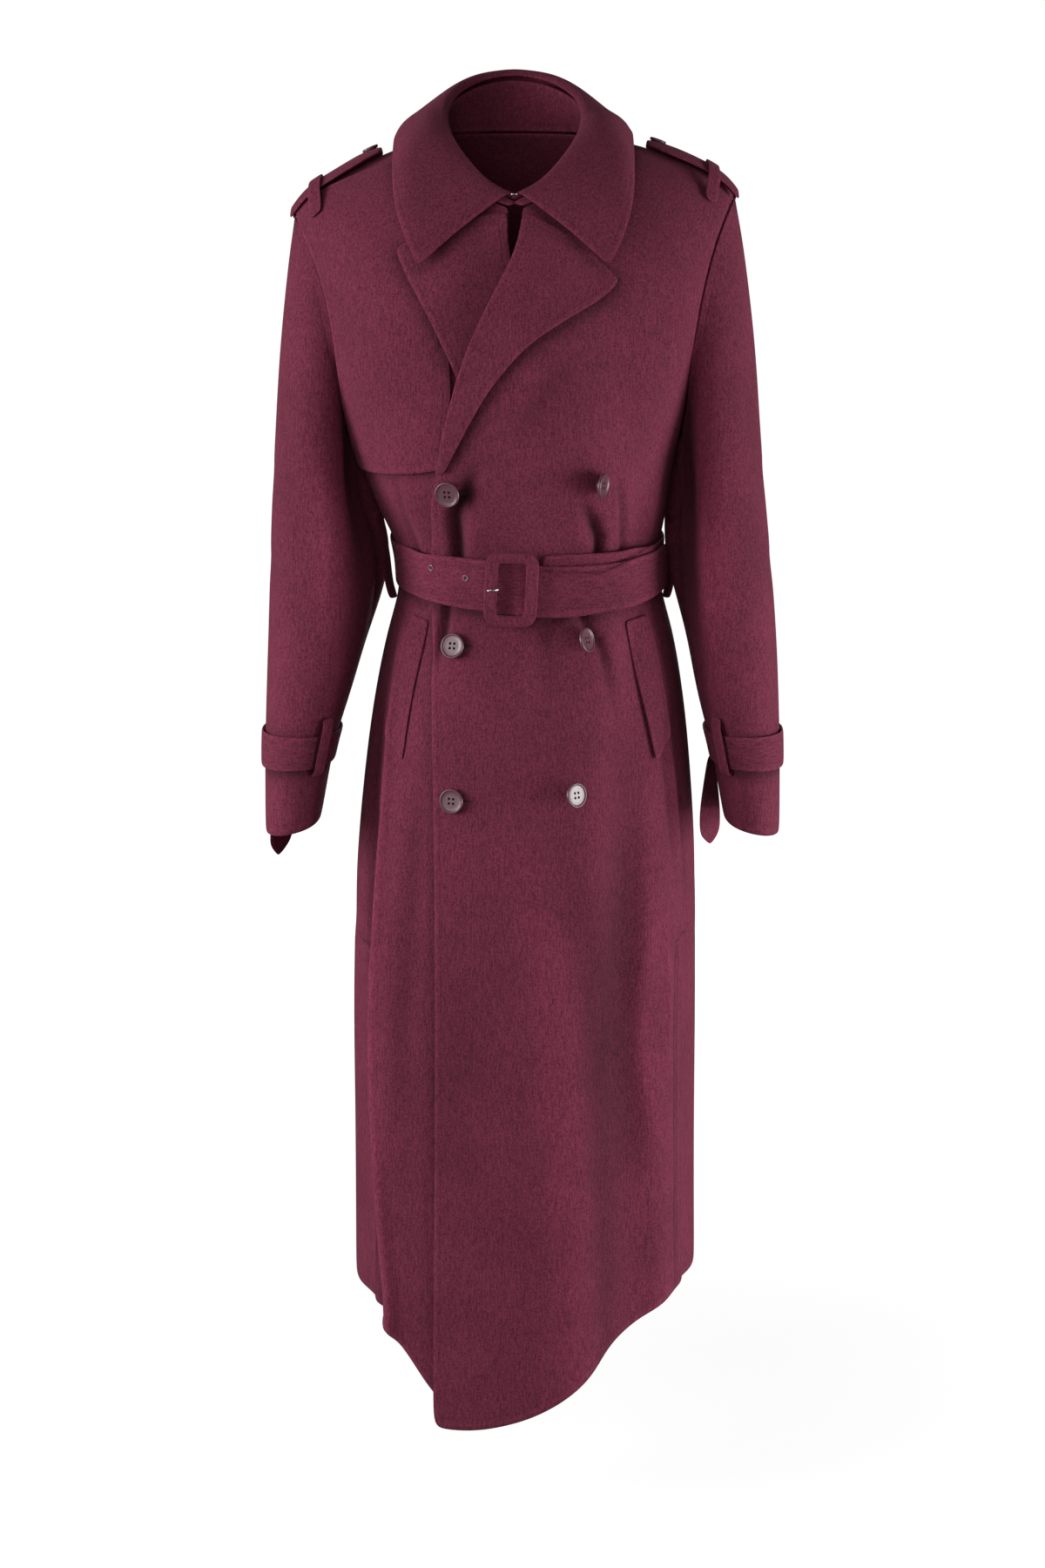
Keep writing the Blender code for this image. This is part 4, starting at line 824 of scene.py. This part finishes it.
class COAT_OT_straps(bpy.types.Operator):
    """Sleeve straps, their loops and hanging ends"""

    bl_idname = "coat.straps"
    bl_label = "Sleeve straps"

    def execute(self, context):
        for side, middle in (("left", LEFT_SLEEVE_MIDDLE), ("right", RIGHT_SLEEVE_MIDDLE)):
            cloth_shell(side + "_sleeve_strap", crosswise_wool(), middle)
            cloth_shell(side + "_sleeve_strap_loop", upright_wool(), middle)
            cloth_shell(side + "_strap_tail", upright_wool(), middle)
        return {"FINISHED"}


class COAT_OT_belt(bpy.types.Operator):
    """Belt with its covered buckle, loops and eyelets"""

    bl_idname = "coat.belt"
    bl_label = "Belt"

    def execute(self, context):
        belt = cloth_shell("belt", crosswise_wool(), BODY_MIDDLE, BELT_FOLDS, BELT_SEAMS)
        widen_front(belt)
        # Each loop stands a little open towards the front
        for node, turn in (("left_belt_loop", LOOP_TURN), ("right_belt_loop", -LOOP_TURN)):
            loop = cloth_shell(node, upright_wool(), BODY_MIDDLE)
            corners = np.array([corner[:] for corner in loop.bound_box])
            centre = Matrix.Translation(corners.mean(axis=0))
            loop.data.transform(centre @ Matrix.Rotation(math.radians(turn), 4, "Z") @ centre.inverted())
        solid_copy("covered_buckle", "belt_buckle", upright_wool(), 2)
        add_eyelets(belt)
        return {"FINISHED"}


def widen_front(belt):
    """Let the lower edge of the belt down in front, most at the buckle."""
    points = np.array([vertex.co for vertex in belt.data.vertices])
    angle = np.degrees(surface_places(points, BODY_MIDDLE, 1.0, 0)[:, 0])
    sector = np.floor(angle / 4.0)
    for step in np.unique(sector[np.abs(angle) < 75]):
        chosen = np.flatnonzero(sector == step)
        heights = points[chosen, 2]
        low = (heights.max() - heights) / (heights.max() - heights.min())
        near = np.clip(np.abs(angle[chosen]) / 75, 0, 1)
        points[chosen, 2] -= BELT_DROP * low * np.cos(0.5 * np.pi * near) ** 2
    belt.data.vertices.foreach_set("co", points.ravel())
    belt.data.update()


def surface_hit(piece, x, z):
    """Front point and normal of a piece at x and z."""
    graph = bpy.context.evaluated_depsgraph_get()
    tree = BVHTree.FromObject(piece, graph)
    point, normal, _, _ = tree.ray_cast(Vector((x, -1.0, z)), Vector((0, 1, 0)))
    if point is None:
        raise RuntimeError("nothing of " + piece.name + " lies at this place")
    return point, normal


def facing_matrix(point, normal):
    """Frame at a point whose Z looks along a normal and whose Y is as upright as can be."""
    ahead = Vector(normal).normalized()
    side = Vector((0, 0, 1)).cross(ahead).normalized()
    up = ahead.cross(side)
    matrix = Matrix((side, up, ahead)).transposed().to_4x4()
    matrix.translation = Vector(point)
    return matrix


def add_eyelets(belt):
    """Rolled eyelet rings in the belt, each over a dark disc of painted shade where the hole is."""
    for index, (x, z) in enumerate(EYELETS):
        place = facing_matrix(*surface_hit(belt, x, z))
        build = bmesh.new()
        ring = bmesh.ops.create_circle(build, segments=10, radius=0.0008)["verts"]
        bmesh.ops.rotate(build, verts=ring, cent=(0, 0, 0), matrix=Matrix.Rotation(math.pi / 2, 3, "X"))
        bmesh.ops.translate(build, verts=ring, vec=(0.0025, 0, 0.0002))
        bmesh.ops.spin(
            build, geom=build.verts[:] + build.edges[:], axis=(0, 0, 1), cent=(0, 0, 0), steps=28,
            angle=2 * math.pi, use_merge=True,
        )
        bmesh.ops.recalc_face_normals(build, faces=build.faces)
        bmesh.ops.transform(build, matrix=place, verts=build.verts)
        ring_piece = new_object(f"eyelet_{index}", finished_mesh("eyelet", build), eyelet_enamel())
        # Dark disc of painted shade in place of the hole
        build = bmesh.new()
        bmesh.ops.create_cone(build, cap_ends=True, segments=20, radius1=0.0022, radius2=0.0022, depth=0.0004)
        bmesh.ops.transform(build, matrix=place, verts=build.verts)
        mesh = finished_mesh("eyelet_hole_shade", build)
        hole = new_object(f"eyelet_hole_shade_{index}", mesh, sewing_thread(), False)


class COAT_OT_buttons(bpy.types.Operator):
    """Front and epaulette buttons with thread stems, and the buttonholes of the closing edge"""

    bl_idname = "coat.buttons"
    bl_label = "Buttons"

    def execute(self, context):
        for side in ("left", "right"):
            for place in ("top", "middle", "bottom"):
                node = side + "_button_" + place
                if side == "left" and place != "bottom":
                    add_button(node, *LEANING_BUTTON, BUTTON_LEAN)
                else:
                    add_button(node, *FRONT_BUTTON)
            add_button(side + "_epaulette_button", *EPAULETTE_BUTTON)
        front = bpy.data.objects["left_front_cloth"]
        for place in ("top", "middle", "bottom"):
            add_buttonhole(front, "right_button_" + place)
        return {"FINISHED"}


def button_seat(node):
    """Centre of the back face and direction of a packed button, read from its points."""
    points = np.array([v.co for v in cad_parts[node].data.vertices])
    centre = points.mean(axis=0)
    spread = np.linalg.svd(points - centre, full_matrices=False)
    normal = spread[2][2]
    away = centre - np.array((*middle_point(BODY_MIDDLE, centre[2]), centre[2] - 0.05))
    if normal @ away < 0:
        normal = -normal
    heights = (points - centre) @ normal
    radii = np.linalg.norm(points - centre - heights[:, None] * normal, axis=1)
    rim = radii > 0.9 * radii.max()
    middle = heights[rim].mean()
    return Vector(centre + middle * normal), Vector(normal)


def add_button(node, radius, thickness, sink, turn=0.0):
    """Turned button with a raised rim, a dished face and four holes, on a wound thread stem."""
    point, normal = button_seat(node)
    normal.rotate(Matrix.Rotation(math.radians(turn), 3, "Z"))
    place = facing_matrix(point - sink * normal, normal)
    half = thickness / 2
    build = bmesh.new()
    outline = (
        (0.60, -0.62), (0.80, -0.60), (0.93, -0.34), (0.985, 0.0), (1.0, 0.22), (0.992, 0.55), (0.96, 0.84),
        (0.915, 0.98), (0.870, 0.94), (0.835, 0.78), (0.805, 0.64), (0.76, 0.58), (0.52, 0.54),
    )
    line = [build.verts.new((radius * r, 0, half * h)) for r, h in outline]
    line.append(build.verts.new((0.52 * radius, 0, -0.62 * half)))
    edges = [build.edges.new((a, b)) for a, b in zip(line, line[1:] + line[:1])]
    bmesh.ops.spin(
        build, geom=line + edges, axis=(0, 0, 1), cent=(0, 0, 0), steps=56, angle=2 * math.pi, use_merge=True,
    )
    bmesh.ops.recalc_face_normals(build, faces=build.faces)
    face = drilled_face(0.53 * radius, 0.185 * radius, 0.112 * radius, 0.48 * half)
    build.from_mesh(face)
    bmesh.ops.transform(build, matrix=place, verts=build.verts)
    mesh = finished_mesh(node + "_turned", build)
    piece = new_object(node + "_turned", mesh, button_resin())
    mesh.set_sharp_from_angle(angle=math.radians(50))
    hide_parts(node)
    build = bmesh.new()
    stem = ((0.0, -0.0050), (0.37, -0.0050), (0.30, -0.0030), (0.37, -0.0006), (0.0, -0.0006))
    line = [build.verts.new((radius * r, 0, h)) for r, h in stem]
    edges = [build.edges.new(pair) for pair in zip(line, line[1:])]
    bmesh.ops.spin(
        build, geom=line + edges, axis=(0, 0, 1), cent=(0, 0, 0), steps=24, angle=2 * math.pi, use_merge=True,
    )
    bmesh.ops.remove_doubles(build, verts=build.verts, dist=0.00001)
    bmesh.ops.recalc_face_normals(build, faces=build.faces)
    bmesh.ops.transform(build, matrix=place, verts=build.verts)
    thread = new_object(node + "_thread", finished_mesh(node + "_thread", build), sewing_thread())


def drilled_face(radius, spacing, hole, top):
    """Disc with four drilled holes, made from a filled flat curve."""
    curve = bpy.data.curves.new("drilled_face", "CURVE")
    curve.dimensions = "2D"
    curve.fill_mode = "BOTH"
    curve.extrude = top
    curve.bevel_depth = 0.00010
    for x, y, size, count in (
        (0, 0, radius, 40), (1, 1, hole, 14), (-1, 1, hole, 14), (-1, -1, hole, 14), (1, -1, hole, 14),
    ):
        ring = curve.splines.new("POLY")
        ring.points.add(count - 1)
        ring.use_cyclic_u = True
        for k, point in enumerate(ring.points):
            turn = 2 * math.pi * k / count
            point.co = (spacing * x + size * math.cos(turn), spacing * y + size * math.sin(turn), 0, 1)
    holder = bpy.data.objects.new("drilled_face", curve)
    bpy.context.scene.collection.objects.link(holder)
    bpy.context.view_layer.update()
    mesh = bpy.data.meshes.new_from_object(holder.evaluated_get(bpy.context.evaluated_depsgraph_get()))
    bpy.data.objects.remove(holder)
    return mesh


def add_buttonhole(front, node):
    """Corded buttonhole that runs from under a button towards the middle of the coat."""
    point, _ = button_seat(node)
    build = bmesh.new()
    rows = []
    for share in np.linspace(0, 1, 9):
        x = point.x - 0.004 + 0.024 * share
        place, normal = surface_hit(front, x, point.z)
        frame_here = facing_matrix(place + 0.0001 * normal, normal)
        width = 0.0014 if 0 < share < 1 else 0.0008
        lips = ((-1, -0.0004), (-0.5, 0.0006), (0, -0.0003), (0.5, 0.0006), (1, -0.0004))
        rows.append([build.verts.new(frame_here @ Vector((0, y * width, h))) for y, h in lips])
    for near, far in zip(rows, rows[1:]):
        for k in range(4):
            build.faces.new((near[k], far[k], far[k + 1], near[k + 1]))
    bmesh.ops.recalc_face_normals(build, faces=build.faces)
    piece = new_object(node + "_hole", finished_mesh(node + "_hole", build), sewing_thread())
    smooth = piece.modifiers.new("smooth", "SUBSURF")
    smooth.levels = 1
    smooth.render_levels = 1


class COAT_OT_contacts(bpy.types.Operator):
    """Shade of the wool beside the edges of collar, lapels, flap, belt and straps"""

    bl_idname = "coat.contacts"
    bl_label = "Shade beside edges"

    def execute(self, context):
        shade_contacts()
        return {"FINISHED"}


class COAT_OT_hardware(bpy.types.Operator):
    """Buckle prong and neck hook"""

    bl_idname = "coat.hardware"
    bl_label = "Hardware"

    def execute(self, context):
        solid_copy("buckle_prong_wire", "buckle_prong", nickel_plate(), 2)
        solid_copy("neck_hook_wire", "neck_hook", nickel_plate(), 2)
        return {"FINISHED"}


def studio_white(name, near):
    """Glowing white of the studio: painted a little shaded near the coat and clear white further out."""
    material, tree, shader = start_material(name)
    if tree is None:
        return material
    place = add_node(tree, "ShaderNodeTexCoord")
    flat = add_node(tree, "ShaderNodeMapping", {"Vector": place.outputs["Object"], "Scale": (1, 1, 0)})
    reach = add_node(tree, "ShaderNodeVectorMath", {0: flat.outputs["Vector"]}, operation="LENGTH")
    glow = add_node(tree, "ShaderNodeMapRange", {
        "Value": reach.outputs["Value"], "From Min": 0.3, "From Max": 1.6, "To Min": near, "To Max": 1.0,
    }, interpolation_type="SMOOTHSTEP")
    tree.links.new(glow.outputs["Result"], shader.inputs["Emission Strength"])
    shader.inputs["Emission Color"].default_value = (1, 1, 1, 1)
    shader.inputs["Base Color"].default_value = (0.25, 0.25, 0.25, 1)
    shader.inputs["Specular IOR Level"].default_value = 0.0
    shader.inputs["Roughness"].default_value = 0.9
    return material


def add_backdrop(name, build, material):
    """Floor or dome that the camera sees and that throws no light or shadow on the coat."""
    mesh = finished_mesh(name, build)
    mesh.materials.append(material)
    piece = bpy.data.objects.new(name, mesh)
    bpy.context.scene.collection.objects.link(piece)
    piece.visible_diffuse = False
    piece.visible_glossy = False
    piece.visible_transmission = False
    piece.visible_shadow = False


class COAT_OT_stage(bpy.types.Operator):
    """Pale floor, soft studio light and camera"""

    bl_idname = "coat.stage"
    bl_label = "Stage"

    def execute(self, context):
        scene = context.scene
        build = bmesh.new()
        bmesh.ops.create_circle(build, cap_ends=True, segments=96, radius=9.0)
        bmesh.ops.translate(build, verts=build.verts, vec=(0, 0, settings().floor_height))
        add_backdrop("floor", build, studio_white("matt_white_floor", 0.80))
        build = bmesh.new()
        bmesh.ops.create_icosphere(build, subdivisions=4, radius=12.0)
        add_backdrop("dome", build, studio_white("white_dome", 1.0))
        world = bpy.data.worlds.new("studio")
        world.use_nodes = True
        back = world.node_tree.nodes["Background"]
        back.inputs["Color"].default_value = (1, 1, 1, 1)
        back.inputs["Strength"].default_value = ROOM_LIGHT
        scene.world = world
        for name, spot, power in LAMPS:
            lamp = bpy.data.lights.new(name, "AREA")
            lamp.energy = power
            lamp.size = LAMP_SIZE
            holder = bpy.data.objects.new(name, lamp)
            holder.location = spot
            holder.rotation_mode = "QUATERNION"
            holder.rotation_quaternion = (Vector(LAMP_AIM) - Vector(spot)).to_track_quat("-Z", "Y")
            scene.collection.objects.link(holder)
        lens = bpy.data.cameras.new("camera")
        lens.lens = 51.1
        lens.sensor_width = 36.0
        camera = bpy.data.objects.new("camera", lens)
        camera.location = (0.0, -2.30, -0.14)
        camera.rotation_euler = (math.pi / 2 - 0.218, 0.0, 0.0)
        scene.collection.objects.link(camera)
        scene.camera = camera
        scene.view_settings.view_transform = "Standard"
        return {"FINISHED"}


class COAT_PT_panel(bpy.types.Panel):
    """Coat settings and steps"""

    bl_idname = "COAT_PT_panel"
    bl_label = "Belted wool coat"
    bl_space_type = "VIEW_3D"
    bl_region_type = "UI"
    bl_category = "Coat"

    def draw(self, context):
        for key in CoatSettings.__annotations__:
            self.layout.prop(context.scene.coat_settings, key)
        for step in STEPS:
            self.layout.operator(step.bl_idname)


STEPS = (
    COAT_OT_stage, COAT_OT_panels, COAT_OT_sleeves, COAT_OT_collar, COAT_OT_trim, COAT_OT_straps,
    COAT_OT_belt, COAT_OT_contacts, COAT_OT_buttons, COAT_OT_hardware,
)
CLASSES = (CoatSettings, *STEPS, COAT_PT_panel)


def register():
    for item in CLASSES:
        bpy.utils.register_class(item)
    bpy.types.Scene.coat_settings = bpy.props.PointerProperty(type=CoatSettings)


def unregister():
    del bpy.types.Scene.coat_settings
    for item in reversed(CLASSES):
        bpy.utils.unregister_class(item)


def main():
    register()
    bpy.ops.coat.stage()
    bpy.ops.coat.panels()
    bpy.ops.coat.sleeves()
    bpy.ops.coat.collar()
    bpy.ops.coat.trim()
    bpy.ops.coat.straps()
    bpy.ops.coat.belt()
    bpy.ops.coat.contacts()
    bpy.ops.coat.buttons()
    bpy.ops.coat.hardware()


if __name__ == "__main__":
    main()
